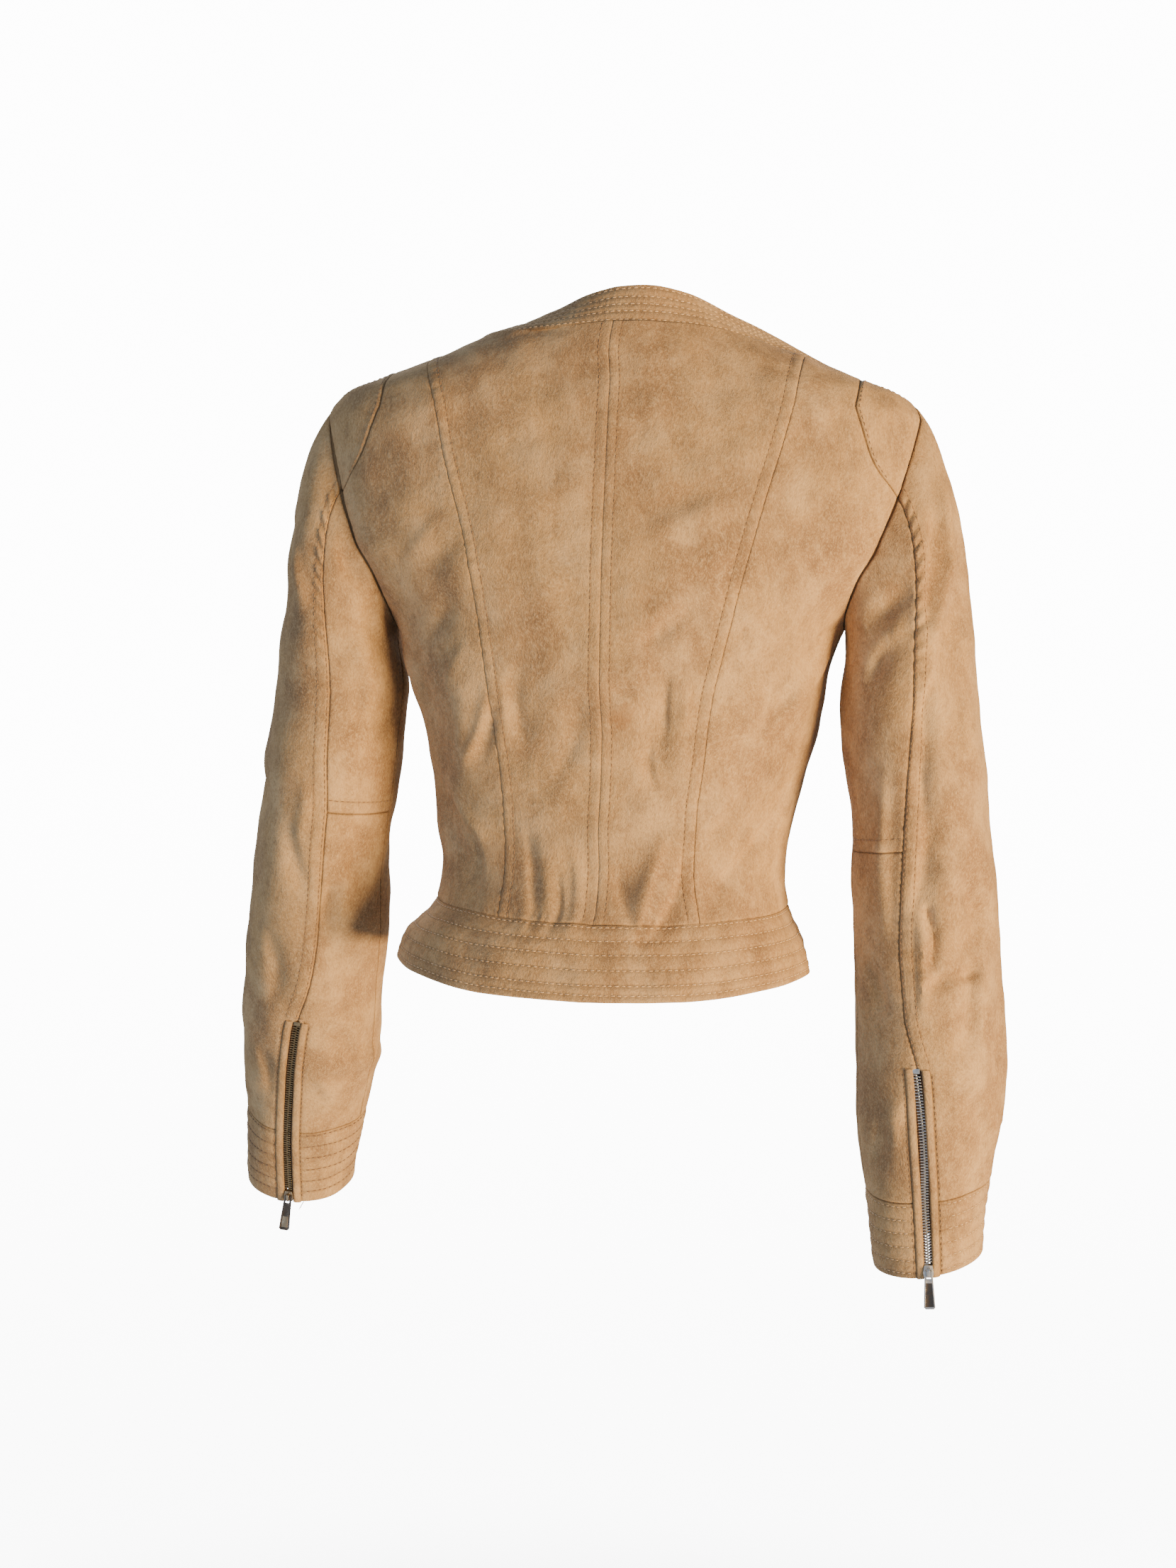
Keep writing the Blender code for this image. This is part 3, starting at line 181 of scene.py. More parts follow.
halfWidth, ridgeAt, backDepth, frontDepth, squareBack, squareFront, swayAt = (
    curveThrough(bodyForm["sections"], i) for i in range(1, 8))
ringCurves = {key: {1: curveThrough(bodyForm[key], 1), -1: curveThrough(bodyForm[key], 2)}
              for key in ("neck", "waist", "hem")}
princessWidth = {1: curveThrough(cutLines["princess"], 1), -1: curveThrough(cutLines["princess"], 2)}
patchWidth = curveThrough(cutLines["patch"], 1)
holeBack, holeHeight = (curveThrough(cutLines["armhole"], i, cyclic=True) for i in (1, 2))
armCurves = {side: dict(zip(("out", "back", "across", "deep", "seam", "slant"),
                            (curveThrough(sleeveForm[side]["rings"], i) for i in range(1, 7))))
             for side in (1, -1)}
underTurn = curveThrough(cutLines["underSeam"], 1)


def wrapped(angle, start=-180.0):      # the same angle, within one circle from start
    return np.mod(angle - start, 360.0) + start


def smooth(value, low, high):
    t = np.clip((value - low) / (high - low), 0, 1)
    return t * t * (3 - 2 * t)


def unit(vectors):
    return vectors / np.linalg.norm(vectors, axis=-1, keepdims=True)


def ringHeight(key, angle):
    turned = np.mod(np.asarray(angle, float), 360.0)
    left = ringCurves[key][1](np.minimum(turned, 180.0))
    right = ringCurves[key][-1](np.minimum(360.0 - turned, 180.0))
    return np.where(turned <= 180.0, left, right)


def foldRise(along, height, folds, degree):      # soft ridges and troughs between two places
    total = np.zeros(np.broadcast(along, height).shape)
    for along0, height0, along1, height1, reach, rise in folds:
        runA, runB = (along1 - along0) * degree, height1 - height0
        farA, farB = (along - along0) * degree, height - height0
        share = np.clip((farA * runA + farB * runB) / (runA * runA + runB * runB), 0, 1)
        off = np.hypot(farA - share * runA, farB - share * runB)
        total += rise * np.exp(-(off / reach) ** 2) * (0.4 + 0.6 * np.sin(np.pi * share))
    return total


def waver(points, size, seed):      # slow unevenness of soft leather, the same on each run
    total = 0.0
    for k in range(7):
        turn, lean = seed * 1.7 + k * 2.399, math.sin(k * 1.3 + seed) * 0.9
        ahead = np.array([math.cos(turn) * math.cos(lean), math.sin(turn) * math.cos(lean),
                          math.sin(lean)])
        scale = size * (0.62 + 0.16 * k)
        total = total + np.sin(points @ ahead * 2 * math.pi / scale + seed + k * k)
    return total / 6


unevenness = {      # rise, size and seed of a coarse and a fine part
    "body": ((2.0, 88.0, 3.0), (0.8, 34.0, 8.0)), "sleeve": ((1.9, 76.0, 5.0), (0.7, 30.0, 9.0)),
}
livelier = {"from": 118.0, "to": 136.0, "more": 0.35}      # the back's fine part, by angle


def uneven(place, key, shift=0.0, more=0.0):
    (coarse, wide, first), (fine, narrow, second) = unevenness[key]
    return coarse * waver(place, wide, first + shift) + (fine + more) * waver(place, narrow, second + shift)


# creases too fine for the solids: angle, height, angle, height, reach, rise
creaseDepth = 1.5
sleeveDepth = {1: 1.3, -1: 1.65}      # how much deeper they are on each sleeve
bodyCreases = (
    (150, -258, 134, -312, 3.6, 1.7), (153, -262, 141, -312, 4.5, -1.0), (145, -230, 133, -264, 4.5, 1.1),
    (-164, -247, -164, -292, 3.2, -1.6), (-160, -252, -160, -290, 4.5, 0.9),
    (-178, -258, -172, -262, 3, -0.9),
    (-168, -292, -165, -325, 3.5, -1.3), (-165, -294, -157, -297, 4, 0.8), (176, -258, 165, -330, 6.5, -1.6),
    (169, -262, 159, -330, 7, 0.9), (159, -350, 166, -425, 5, -1.7), (168, -375, 170, -425, 3.5, -1.2),
    (173, -360, 175, -425, 4.5, 1.4), (-176, -370, -166, -425, 4.5, -1.2), (-161, -352, -170, -425, 5, 1.7),
    (-154, -360, -166, -425, 4.5, -2.0), (-110, -315, -147, -388, 5, 2.1), (-124, -310, -147, -362, 6, -1.3),
    (104, -322, 137, -364, 5, -2.1), (135, -352, 137, -395, 4.5, -1.8), (122, -322, 142, -362, 5.5, 1.3),
    (161, -240, 158, -298, 5.5, -1.4), (153, -250, 151, -300, 6, 1.0), (-164, -210, -172, -230, 5, -1.1),
    (134, -180, 153, -140, 7, 1.2), (136, -190, 157, -152, 8, -1.1), (-176, -148, -162, -125, 8, -1.2),
    (-174, -160, -160, -134, 7, 1.0), (-170, -228, -160, -204, 6, -1.3), (-172, -216, -162, -192, 7, 0.9),
    (140, -24, 166, -23, 4, -0.8), (-143, -34, -135, -46, 7, 0.9), (-120, -256, -134, -292, 6, -1.3),
    (-116, -246, -130, -284, 6, 1.1), (145, -198, 124, -232, 6, -1.4), (-150, -60, -162, -100, 10, -0.9),
    (150, -70, 164, -110, 10, -0.9), (172, -80, 160, -150, 11, 0.8), (-168, -70, -150, -110, 10, 0.8),
    (-104, -208, -122, -238, 5, -2.0), (-98, -226, -116, -262, 6, 1.5),
    (98, -226, 114, -264, 6, 1.4), (64, -306, 38, -356, 6, 1.9), (-64, -306, -36, -358, 6, 1.8),
    (50, -344, 28, -392, 5, -1.9), (-48, -340, -26, -392, 5, -1.9), (80, -222, 58, -252, 6, -2.1),
    (-80, -222, -58, -254, 6, -2.1), (14, -176, 30, -214, 9, 1.4), (-14, -180, -32, -214, 9, 1.4),
    (62, -128, 40, -156, 9, -1.5), (-62, -132, -40, -158, 9, -1.5), (70, -350, 52, -425, 5, -1.6),
    (-74, -356, -54, -425, 5, -1.5), (34, -370, 30, -425, 4.5, 1.2), (-36, -366, -32, -425, 4.5, 1.2),
)
sleeveCreases = {
    1: (
        (10, -140, 52, -208, 6, -2.0), (38, -156, 72, -208, 6, 1.8), (92, -158, 130, -194, 8, -1.8),
        (128, -190, 150, -242, 8, -1.6), (115, -222, 134, -284, 8, 1.4), (117, -392, 110, -426, 4.5, -2.2),
        (148, -350, 132, -392, 6, -1.5), (132, -384, 118, -442, 8, 1.4), (87, -322, 85, -368, 6, 1.3),
        (74, -350, 97, -405, 7, -1.8), (-4, -290, 40, -334, 8, 1.4), (8, -310, 48, -352, 8, -1.5),
        (60, -430, 74, -486, 8, -1.7), (20, -470, 46, -520, 9, 1.3), (130, -500, 150, -548, 8, -1.5),
        (55, -520, 72, -558, 6, -1.4), (300, -470, 262, -520, 9, -1.6), (340, -540, 8, -560, 8, 1.2),
        (110, -540, 128, -560, 6, 1.0), (250, -322, 206, -336, 4.5, -2.2), (272, -346, 222, -356, 4.5, -2.0),
        (262, -336, 218, -344, 4, 1.5), (320, -352, 352, -338, 6, -1.6), (280, -262, 244, -300, 8, -1.6),
        (318, -226, 290, -270, 9, 1.4),
    ),
    -1: (
        (30, -110, 42, -180, 6, 1.9), (38, -158, 72, -224, 5.5, 2.1), (64, -208, 88, -268, 5.5, 1.8),
        (50, -134, 78, -212, 8, -2.4), (54, -210, 86, -282, 8.5, -2.2), (68, -244, 96, -345, 9.5, -2.5),
        (86, -300, 103, -405, 9, -2.3), (115, -300, 125, -420, 7, 1.6), (90, -392, 86, -416, 4, -2.3),
        (86, -410, 94, -440, 3.8, -2.1), (97, -449, 70, -440, 4.5, -2.0), (74, -441, 42, -435, 5, -1.8),
        (46, -432, 61, -456, 6, -1.9), (60, -448, 64, -495, 8, -2.1), (96, -400, 99, -470, 4.5, 1.5),
        (83, -355, 60, -382, 8, 1.3), (62, -378, 34, -410, 9, -1.7), (146, -436, 132, -472, 7, -1.7),
        (84, -190, 130, -212, 8, -2.2), (100, -218, 128, -252, 7, -1.8), (90, -205, 118, -228, 8, 1.2),
        (60, -520, 40, -560, 8, -1.9), (126, -540, 140, -575, 7, -1.6), (110, -520, 118, -560, 6, 1.1),
        (4, -544, 18, -578, 8, -1.2), (250, -346, 208, -360, 4.5, -2.2), (274, -372, 224, -382, 4.5, -2.0),
        (262, -360, 216, -370, 4, 1.5), (322, -392, 350, -376, 6, -1.6), (300, -500, 262, -545, 9, -1.6),
        (282, -268, 246, -300, 8, -1.6), (316, -232, 292, -276, 9, 1.4),
    ),
}


def creaseRise(along, height, creases, degree):      # bowed, pointed at both ends, one flank steeper
    total = np.zeros(np.broadcast(along, height).shape)
    for k, (along0, height0, along1, height1, reach, rise) in enumerate(creases):
        runA, runB = (along1 - along0) * degree, height1 - height0
        long = math.hypot(runA, runB)
        middle = (along0 + along1) / 2
        turned = wrapped(along - middle) + middle
        farA, farB = (turned - along0) * degree, height - height0
        share = np.clip((farA * runA + farB * runB) / long ** 2, 0, 1)
        bow = 0.07 * math.sin(k * 1.7 + 1.0) * long * np.sin(np.pi * share)
        off = (farA * runB - farB * runA) / long + bow
        wide = reach * (1 + 0.4 * math.sin(k * 2.4) * np.sign(off))
        total += creaseDepth * rise * np.sin(np.pi * share) ** 0.8 * np.exp(-(off / wide) ** 2)
    return total


def bodyAt(a, b):      # outer face at angle a from the centre front and height b
    angle = np.radians(a)
    across, fore = np.sin(angle), np.cos(angle)
    behind = fore < 0
    ridge, half = ridgeAt(b), halfWidth(b)
    depth = np.where(behind, backDepth(b) - ridge, ridge - frontDepth(b))
    power = 2.0 / np.where(behind, squareBack(b), squareFront(b))
    x = half * np.sign(across) * np.abs(across) ** power
    y = -depth * np.sign(fore) * np.abs(fore) ** power
    facing = unit(np.stack([x / half ** 2, y / depth ** 2], axis=-1))
    rise = foldRise(wrapped(a), b, bodyForm["folds"], bodyForm["degree"])
    return np.stack([swayAt(b) + x + facing[..., 0] * rise, ridge + y + facing[..., 1] * rise,
                     b + 0.0 * x], axis=-1)


def angleAtDepth(side, back, height):
    ridge = ridgeAt(height)
    behind = back > ridge
    depth = np.where(behind, backDepth(height) - ridge, ridge - frontDepth(height))
    power = np.where(behind, squareBack(height), squareFront(height)) / 2.0
    fore = np.clip(np.abs(back - ridge) / depth, 0, 1) ** power
    return side * np.degrees(np.arccos(np.where(behind, -fore, fore)))


def angleAtWidth(side, width, height):      # on the back
    offset = np.clip((width - side * swayAt(height)) / halfWidth(height), 0, 1)
    return side * (180.0 - np.degrees(np.arcsin(offset ** (squareBack(height) / 2.0))))


def angleAtOffset(offset, height):          # on the front, from the section's own middle
    return np.degrees(np.arcsin((offset / halfWidth(height)) ** (squareFront(height) / 2.0)))


def armholeAt(side, turn):
    turn = np.asarray(turn, float)
    height = holeHeight(turn)
    return angleAtDepth(side, holeBack(turn), height), height


def normalsOf(surface, a, b):
    da, db = surface["steps"]
    run = surface["at"](a + da, b) - surface["at"](a - da, b)
    climb = surface["at"](a, b + db) - surface["at"](a, b - db)
    return unit(np.cross(run, climb) * surface["facing"])


zipHold = {              # a zip holds the cloth beside it flat
    "most": 0.9,         # share of the creases that goes
    "front": 22.0, "cuff": 13.0,      # how far from the zip's middle
    "above": 14.0, "below": 10.0,     # a cuff zip starts to hold over its top, and holds fully under it
}


def bodyDetail(a, b):
    turned = wrapped(a)
    behind = smooth(np.abs(turned), livelier["from"], livelier["to"])
    rise = (creaseRise(turned, b, bodyCreases, bodyForm["degree"])
            + uneven(bodyAt(a, b), "body", 0.0, livelier["more"] * behind))
    return rise * (1 - zipHold["most"] * np.exp(-(turned * bodyForm["degree"] / zipHold["front"]) ** 2))


bodySurface = {"at": bodyAt, "steps": (0.25, 0.5), "facing": 1, "detail": bodyDetail}


def sleeveRing(side, turn, height):
    form, arm = sleeveForm[side], armCurves[side]
    lower = [arm[key](height - 2.0) for key in ("out", "back")]
    upper = [arm[key](height + 2.0) for key in ("out", "back")]
    span = np.clip(height + 2.0, None, sleeveTop) - np.clip(height - 2.0, form["end"], None)
    along = unit(np.stack([side * (lower[0] - upper[0]) / span, (lower[1] - upper[1]) / span,
                           -np.ones_like(height)], axis=-1))
    rear = unit(np.array([0.0, 1.0, 0.0]) - along * along[..., 1:2])
    outward = np.cross(rear, along) * -side
    centre = np.stack([side * arm["out"](height), arm["back"](height), height + 0.0 * span], axis=-1)
    rise = foldRise(wrapped(turn, sleeveStart), height, form["folds"], sleeveDegree)
    turn = np.radians(turn)
    ring = (outward * ((arm["across"](height) + rise) * np.cos(turn))[..., None]
            + rear * ((arm["deep"](height) + rise) * np.sin(turn))[..., None])
    return centre + ring - along * (arm["slant"](height) * np.cos(turn))[..., None], along


def heightAt(side, level):      # level: 0 armhole, 1 armpit, 2 cuff's hem
    return sleeveTop + np.clip(level - 1.0, 0, 1) * (sleeveForm[side]["end"] - sleeveTop)


def levelOf(side, height):
    return 1.0 + (height - sleeveTop) / (sleeveForm[side]["end"] - sleeveTop)


def backSeamTurn(side, level):
    level = np.asarray(level, float)
    below = armCurves[side]["seam"](heightAt(side, level))
    start = cutLines["backSeamStart"]
    return np.where(level < 1.0, start + (below - start) * np.clip(level, 0, 1), below)


def makeSleeve(side):      # a: turn, 0 outer, 90 back; b: level
    form = sleeveForm[side]

    def at(a, b):
        arm, along = sleeveRing(side, a, heightAt(side, b))
        arm = arm + along * np.clip((b - 2.0)[..., None] * (sleeveTop - form["end"]), 0, None)
        cos, sin = np.cos(np.radians(a)), np.sin(np.radians(a))
        outward = np.stack([side * cos, sin, 0 * cos], axis=-1)
        start = bodyAt(*armholeAt(side, a))
        out, first, last = (middle + change * cos
                            for middle, change in (capForm[key] for key in ("out", "first", "last")))
        leave = unit(np.stack([side * out, capForm["back"] * sin, 0 * cos - capForm["down"]], axis=-1))
        first = start + leave * first[..., None]
        last = arm - along * last[..., None]
        t = np.clip(b, -0.02, 1)[..., None]
        cap = (start * (1 - t) ** 3 + 3 * first * t * (1 - t) ** 2
               + 3 * last * t * t * (1 - t) + arm * t ** 3)
        folds = foldRise(wrapped(a, sleeveStart), cap[..., 2], form["folds"], sleeveDegree)
        cap += outward * (folds * (1 - t[..., 0] ** 4) * np.clip(4 * t[..., 0], 0, 1))[..., None]
        return np.where((b < 1.0)[..., None], cap, arm)

    def detail(a, b):
        place = at(a, b)
        height = place[..., 2]
        turned = wrapped(a, sleeveStart)
        free = np.clip(b * 6, 0, 1)
        rise = (sleeveDepth[side] * creaseRise(turned, height, sleeveCreases[side], sleeveDegree)
                + uneven(place, "sleeve", side))
        beside = np.radians(turned - backSeamTurn(side, b)) * armCurves[side]["deep"](height)
        flat = smooth(form["zipTop"] - height, -zipHold["above"], zipHold["below"])
        return free * rise * (1 - zipHold["most"] * flat * np.exp(-(beside / zipHold["cuff"]) ** 2))

    return {"at": at, "steps": (0.25, 0.004), "facing": -side, "detail": detail}


sleeveSurface = {side: makeSleeve(side) for side in (1, -1)}

neckband = {
    "width": 29.0, "wall": 2.4,
    "ease": 7,       # degrees to each side over which it is stretched smooth round the corners
    "lean": (        # how steeply it stands: angle from the centre front, left, right
        (0, 62, 62), (30, 50, 52), (57, 32, 34), (94, 20, 24), (121, 20, 36), (150, 34, 58),
        (168, 54, 68), (180, 64, 64)),
    "stitchRows": (2.6, 9.4, 15.2, 20.8, 27.4),     # from its top edge
}
leanAt = {1: curveThrough(neckband["lean"], 1), -1: curveThrough(neckband["lean"], 2)}


def bandAt(a, b):      # b: share of the band's width above the neck seam
    turned = np.mod(a, 360.0)
    seam = bodyAt(a, ringHeight("neck", a))
    ahead, behind = a + neckband["ease"], a - neckband["ease"]
    run = bodyAt(ahead, ringHeight("neck", ahead)) - bodyAt(behind, ringHeight("neck", behind))
    inward = unit(np.stack([-run[..., 1], run[..., 0], 0 * run[..., 0]], axis=-1))
    lean = np.where(turned <= 180.0, leanAt[1](turned), leanAt[-1](360.0 - turned))
    lean = np.radians(lean)[..., None]
    rise = np.cos(lean) * inward + np.sin(lean) * np.array([0.0, 0.0, 1.0])
    return seam + rise * (b * neckband["width"])[..., None]


def bandDetail(a, b):
    return 0.5 * waver(bandAt(a, b), 60.0, 4.0)


bandSurface = {"at": bandAt, "steps": (0.25, 0.02), "facing": 1, "detail": bandDetail}

# cloth: thin shells with turned seams, pressed allowances and puckers
cloth = {
    "wall": 1.3,          # suede with its lining
    "gap": 0.1,           # each piece's face stands this far back from its seam line
    "allowance": 0.5,     # and its inside laps this far past the line, so no light comes through
    "step": 2.4,          # grid spacing
    "roll": 0.9,          # radius of a turned edge
    "groove": 1.0,        # half width of a seam's groove
    "row": 0.9,           # half width of the dent along a stitch row
    "quilt": 0.95,        # the same on a quilted band
    "ladder": (90.0, 170.0),      # where the wrinkles in a sleeve's back seam fade out
}
alongSide = {             # the side that distances along each side run from, and its shares
    "left": ("top", "down"), "right": ("top", "down"),
    "top": ("left", "across"), "bottom": ("left", "across"),
}


def pucker(along, seed):      # the small waves that stitching draws into suede
    beat = np.sin(2 * np.pi * along / 31.0 + seed * 1.3)
    fine = np.sin(2 * np.pi * along / 7.6 + 1.6 * beat + seed)
    return fine * (0.62 + 0.38 * np.sin(along / 9.7 + seed))


def rungs(along, seed):      # the wider, even wrinkles across a gathered seam allowance
    return np.sin(2 * np.pi * along / 10.5 + 1.2 * np.sin(along / 17.0 + seed))


def rowsOf(edge):      # stitch rows and welt lines: distance from the edge, first and last share, depth
    plain = (-1.0, 2.0, edge.get("pull", 0.3))
    return [row if isinstance(row, tuple) else (row, *plain) for row in edge.get("rows", ())]


def edgeRise(d, along, share, edge):
    # edge: how deep its groove is, how far the allowance under the cloth reaches and lifts
    # it, the stitch rows, how strongly they pucker it, and the share where all that ends
    rise = -edge.get("groove", 0.55) * np.exp(-(d / cloth["groove"]) ** 2)
    width, lift, until = edge.get("width", 0.0), edge.get("lift", 0.0), edge.get("until", 2.0)
    live = 1 - smooth(share, until - 0.012, until + 0.004)
    if lift:
        rise += live * lift * smooth(d, 0.2, 2.0) * (1 - smooth(d, width - 1.2, width + 2.2))
    for row, first, last, pull in rowsOf(edge):
        rise -= (share >= first) * (share <= last) * pull * np.exp(-((d - row) / cloth["row"]) ** 2)
    if edge.get("pucker"):
        reach = max(width, 5.0)
        wave = pucker(along, edge.get("seed", 0.0))
        if edge.get("ladder"):
            fading = 1.0 - 0.7 * smooth(along, *cloth["ladder"])
            wave = fading * (rungs(along, edge["seed"]) + 0.3 * wave)
        rise += live * edge["pucker"] * wave * np.exp(-((d - reach * 0.5) / (reach * 0.6)) ** 2)
    return rise


def edgeShade(d, along, share, edge):      # painted shade: a seam's line, its stitch rows and the hollows of its puckers darkened
    shade = 0 * d
    if edge.get("tucked", True):
        shade = edge.get("dark", 0.6) * np.exp(-(d / edge.get("line", 0.55)) ** 2)
    for row, first, last, pull in rowsOf(edge):
        deep = 0.8 if pull > 0.45 else edge.get("rowShade", 0.3)
        here = (share >= first) & (share <= last)
        shade = np.maximum(shade, deep * here * np.exp(-((d - row) / 0.6) ** 2))
    if edge.get("ladder"):      # painted shade: the hollows of the puckers darker than their crests
        width = edge["width"]
        within = smooth(d, 0.8, 2.4) * (1 - smooth(d, width - 2.0, width)) * (share < edge["until"])
        fading = 1 - 0.75 * smooth(along, *cloth["ladder"])
        hollow = np.clip(-rungs(along, edge["seed"]), 0, 1)
        shade = np.maximum(shade, edge["ladder"] * within * fading * hollow)
    return shade


def roundEdge(d, wall, roll):      # how far a face falls back as the cloth turns over its edge
    r = min(roll, wall / 2 - 0.02)
    return r - np.sqrt(np.clip(r * r - np.clip(r - d, 0, None) ** 2, 0, None))


def edgeMarks(edge):      # distances from an edge where its form needs a row of the grid
    marks = [0.0, 0.35, 0.9, 1.7, 2.7]
    for row in rowsOf(edge):
        marks += [row[0] - 1.0, row[0], row[0] + 1.0]
    if edge.get("lift"):
        marks += [edge["width"] - 1.0, edge["width"] + 0.8, edge["width"] + 2.4]
    marks = sorted(m for m in marks if m >= 0)
    kept = [marks[0]]
    for m in marks[1:]:
        if m - kept[-1] > 0.3:
            kept.append(m)
    return kept


def marksAlong(length, first, last, step, middle=None):      # close together at both edges, even between
    spare = min(1.0, 0.42 * length / max(first[-1], last[-1], 1.0))
    near, far = np.array(first) * spare, length - np.array(last)[::-1] * spare
    middle = middle or max(2, int(round((far[0] - near[-1]) / step)))
    return np.concatenate([near, np.linspace(near[-1], far[0], middle + 1)[1:-1], far]), middle


def patch(cut, v, u):      # (a, b) at shares v down and u across, rows straight between the sides
    if "at" in cut:
        return cut["at"](v, u)
    left, right = cut["left"](v), cut["right"](v)
    a = (1 - u) * left[0] + u * right[0]
    b = (1 - u) * left[1] + u * right[1]
    for edge, far in (("top", v), ("bottom", 1 - v)):
        near = np.clip(1 - far * 3.0, 0, 1) ** 2
        here = cut[edge](u)
        start, end = cut[edge](np.zeros_like(u)), cut[edge](np.ones_like(u))
        a = a + near * (here[0] - (1 - u) * start[0] - u * end[0])
        b = b + near * (here[1] - (1 - u) * start[1] - u * end[1])
    return a, b


def lengthsAlong(points, axis):
    steps = np.linalg.norm(np.diff(points, axis=axis), axis=-1)
    start = np.zeros_like(np.take(steps, [0], axis=axis))
    return np.concatenate([start, np.cumsum(steps, axis=axis)], axis=axis)


def layOut(surface, cut, edges):      # a piece's grid, with the distance of each point to its edges
    step = cut.get("step", cloth["step"])
    top, bottom, left, right = (edgeMarks(edges.get(side, {})) for side in ("top", "bottom", "left", "right"))
    coarseU = np.linspace(0, 1, 41)[None, :]
    coarseV = np.linspace(0, 1, 81)[:, None]
    points = surface["at"](*patch(cut, coarseV + 0 * coarseU, coarseU + 0 * coarseV))
    down = lengthsAlong(points, 0).mean(axis=1)
    marks, _ = marksAlong(down[-1], top, bottom, cut.get("rowStep", step))
    v = np.interp(marks, down, coarseV[:, 0])[:, None]
    points = surface["at"](*patch(cut, v + 0 * coarseU, coarseU + 0 * v))
    across = lengthsAlong(points, 1)
    _, middle = marksAlong(across[:, -1].max(), left, right, cut.get("colStep", step))
    d = np.array([marksAlong(row[-1], left, right, step, middle)[0] for row in across])
    u = np.array([np.interp(line, row, coarseU[0]) for line, row in zip(d, across)])
    a, b = patch(cut, v + 0 * u, u)
    gaps = {"left": d, "right": d[:, -1:] - d, "top": marks[:, None] + 0 * d,
            "bottom": marks[-1] - marks[:, None] + 0 * d, "down": v + 0 * d, "across": u}
    return a, b, gaps


def pullBack(points, edges, gap, own=None):      # opens the seam lines by a gap, or laps them
    points = points.copy()
    for side, here, inside in (("left", np.s_[:, 0], np.s_[:, 3]), ("right", np.s_[:, -1], np.s_[:, -4]),
                               ("top", np.s_[0], np.s_[3]), ("bottom", np.s_[-1], np.s_[-4])):
        edge = edges.get(side, {})
        if edge.get("tucked", True):
            points[here] += unit(points[inside] - points[here]) * (-edge[own] if own in edge else gap)
    return points


def faceOutward(mesh, change=None):      # turns the faces outward, after a change of its points
    data = bmesh.new()
    data.from_mesh(mesh)
    if change:
        for vert in data.verts:
            vert.co = Vector(change(*vert.co))
    bmesh.ops.recalc_face_normals(data, faces=data.faces)
    data.to_mesh(mesh)
    data.free()


def meshPiece(name, verts, faces, looks):      # a new piece from points in millimetres
    mesh = bpy.data.meshes.new(name)
    mesh.from_pydata((verts.reshape(-1, 3) * mm).tolist(), [], faces)
    for look in looks:
        mesh.materials.append(look)
    piece = bpy.data.objects.new(name, mesh)
    bpy.context.scene.collection.objects.link(piece)
    faceOutward(mesh)
    return piece


def shell(name, outer, inner, shade, looks):      # a closed wall between two grids
    rows, cols = outer.shape[:2]
    index = np.arange(rows * cols).reshape(rows, cols)
    corners = (index[:-1, :-1], index[:-1, 1:], index[1:, 1:], index[1:, :-1])
    front = np.stack(corners, axis=-1).reshape(-1, 4)
    rim = np.concatenate([index[0], index[1:, -1], index[-1, -2::-1], index[-2:0:-1, 0]])
    after = np.roll(rim, -1)
    edge = np.stack([after, rim, rim + rows * cols, after + rows * cols], axis=-1)
    faces = np.concatenate([front, front[:, ::-1] + rows * cols, edge])
    piece = meshPiece(name, np.concatenate([outer, inner]), faces.tolist(), looks)
    slots = np.zeros(len(faces), np.int32)
    slots[len(front):len(front) * 2] = len(looks) - 1
    piece.data.polygons.foreach_set("material_index", slots)
    fade = piece.data.attributes.new("seamShade", "FLOAT", "POINT")
    fade.data.foreach_set("value", np.tile(shade.reshape(-1), 2).astype(np.float32))
    piece.data.shade_smooth()
    piece.data.set_sharp_from_angle(angle=math.radians(60))
    return piece


def clothPiece(name, node, surface, cut, edges, wall=cloth["wall"], looks=None):
    a, b, gaps = layOut(surface, cut, edges)
    base, normal = surface["at"](a, b), normalsOf(surface, a, b)
    rise, shade, turned = surface["detail"](a, b), np.zeros(a.shape), np.zeros(a.shape)
    for side, (other, share) in alongSide.items():
        edge, place = edges.get(side, {}), (gaps[side], gaps[other], gaps[share])
        rise = rise + edgeRise(*place, edge)
        shade = np.maximum(shade, edgeShade(*place, edge))
        turned = np.maximum(turned, roundEdge(gaps[side], wall, edge.get("roll", cloth["roll"])))
    if "shape" in cut:
        rise = rise + cut["shape"](gaps)
        # painted shade along the quilting's stitch rows
        for row in cut["sewn"]:
            shade = np.maximum(shade, 0.42 * np.exp(-((gaps["top"] - row) / 0.75) ** 2))
    outer = base + normal * (rise - turned)[..., None]
    inner = base + normal * (np.minimum(rise, 0.4 * rise) - wall + turned)[..., None]
    outer = pullBack(outer, edges, cloth["gap"])
    inner = pullBack(inner, edges, -cloth["allowance"], "lap")
    piece = shell(name, outer, inner, shade, looks or clothLooks)
    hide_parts(node)
    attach(piece, "jacket")
    return {"outer": outer, "normal": normal, "gaps": gaps}


# finishes: the sizes of their patterns are in millimetres
def tone(code):      # sRGB hex to linear
    values = [int(code[i:i + 2], 16) / 255 for i in (1, 3, 5)]
    return [v / 12.92 if v <= 0.04045 else ((v + 0.055) / 1.055) ** 2.4 for v in values] + [1.0]


def perMetre(size):
    return 1000.0 / size


def addNode(tree, kind, settings=None, inputs=None):      # inputs: a value, or a socket to link from
    node = tree.nodes.new("ShaderNode" + kind)
    for key, value in (settings or {}).items():
        setattr(node, key, value)
    for key, value in (inputs or {}).items():
        if isinstance(value, bpy.types.NodeSocket):
            tree.links.new(value, node.inputs[key])
        else:
            node.inputs[key].default_value = value
    return node


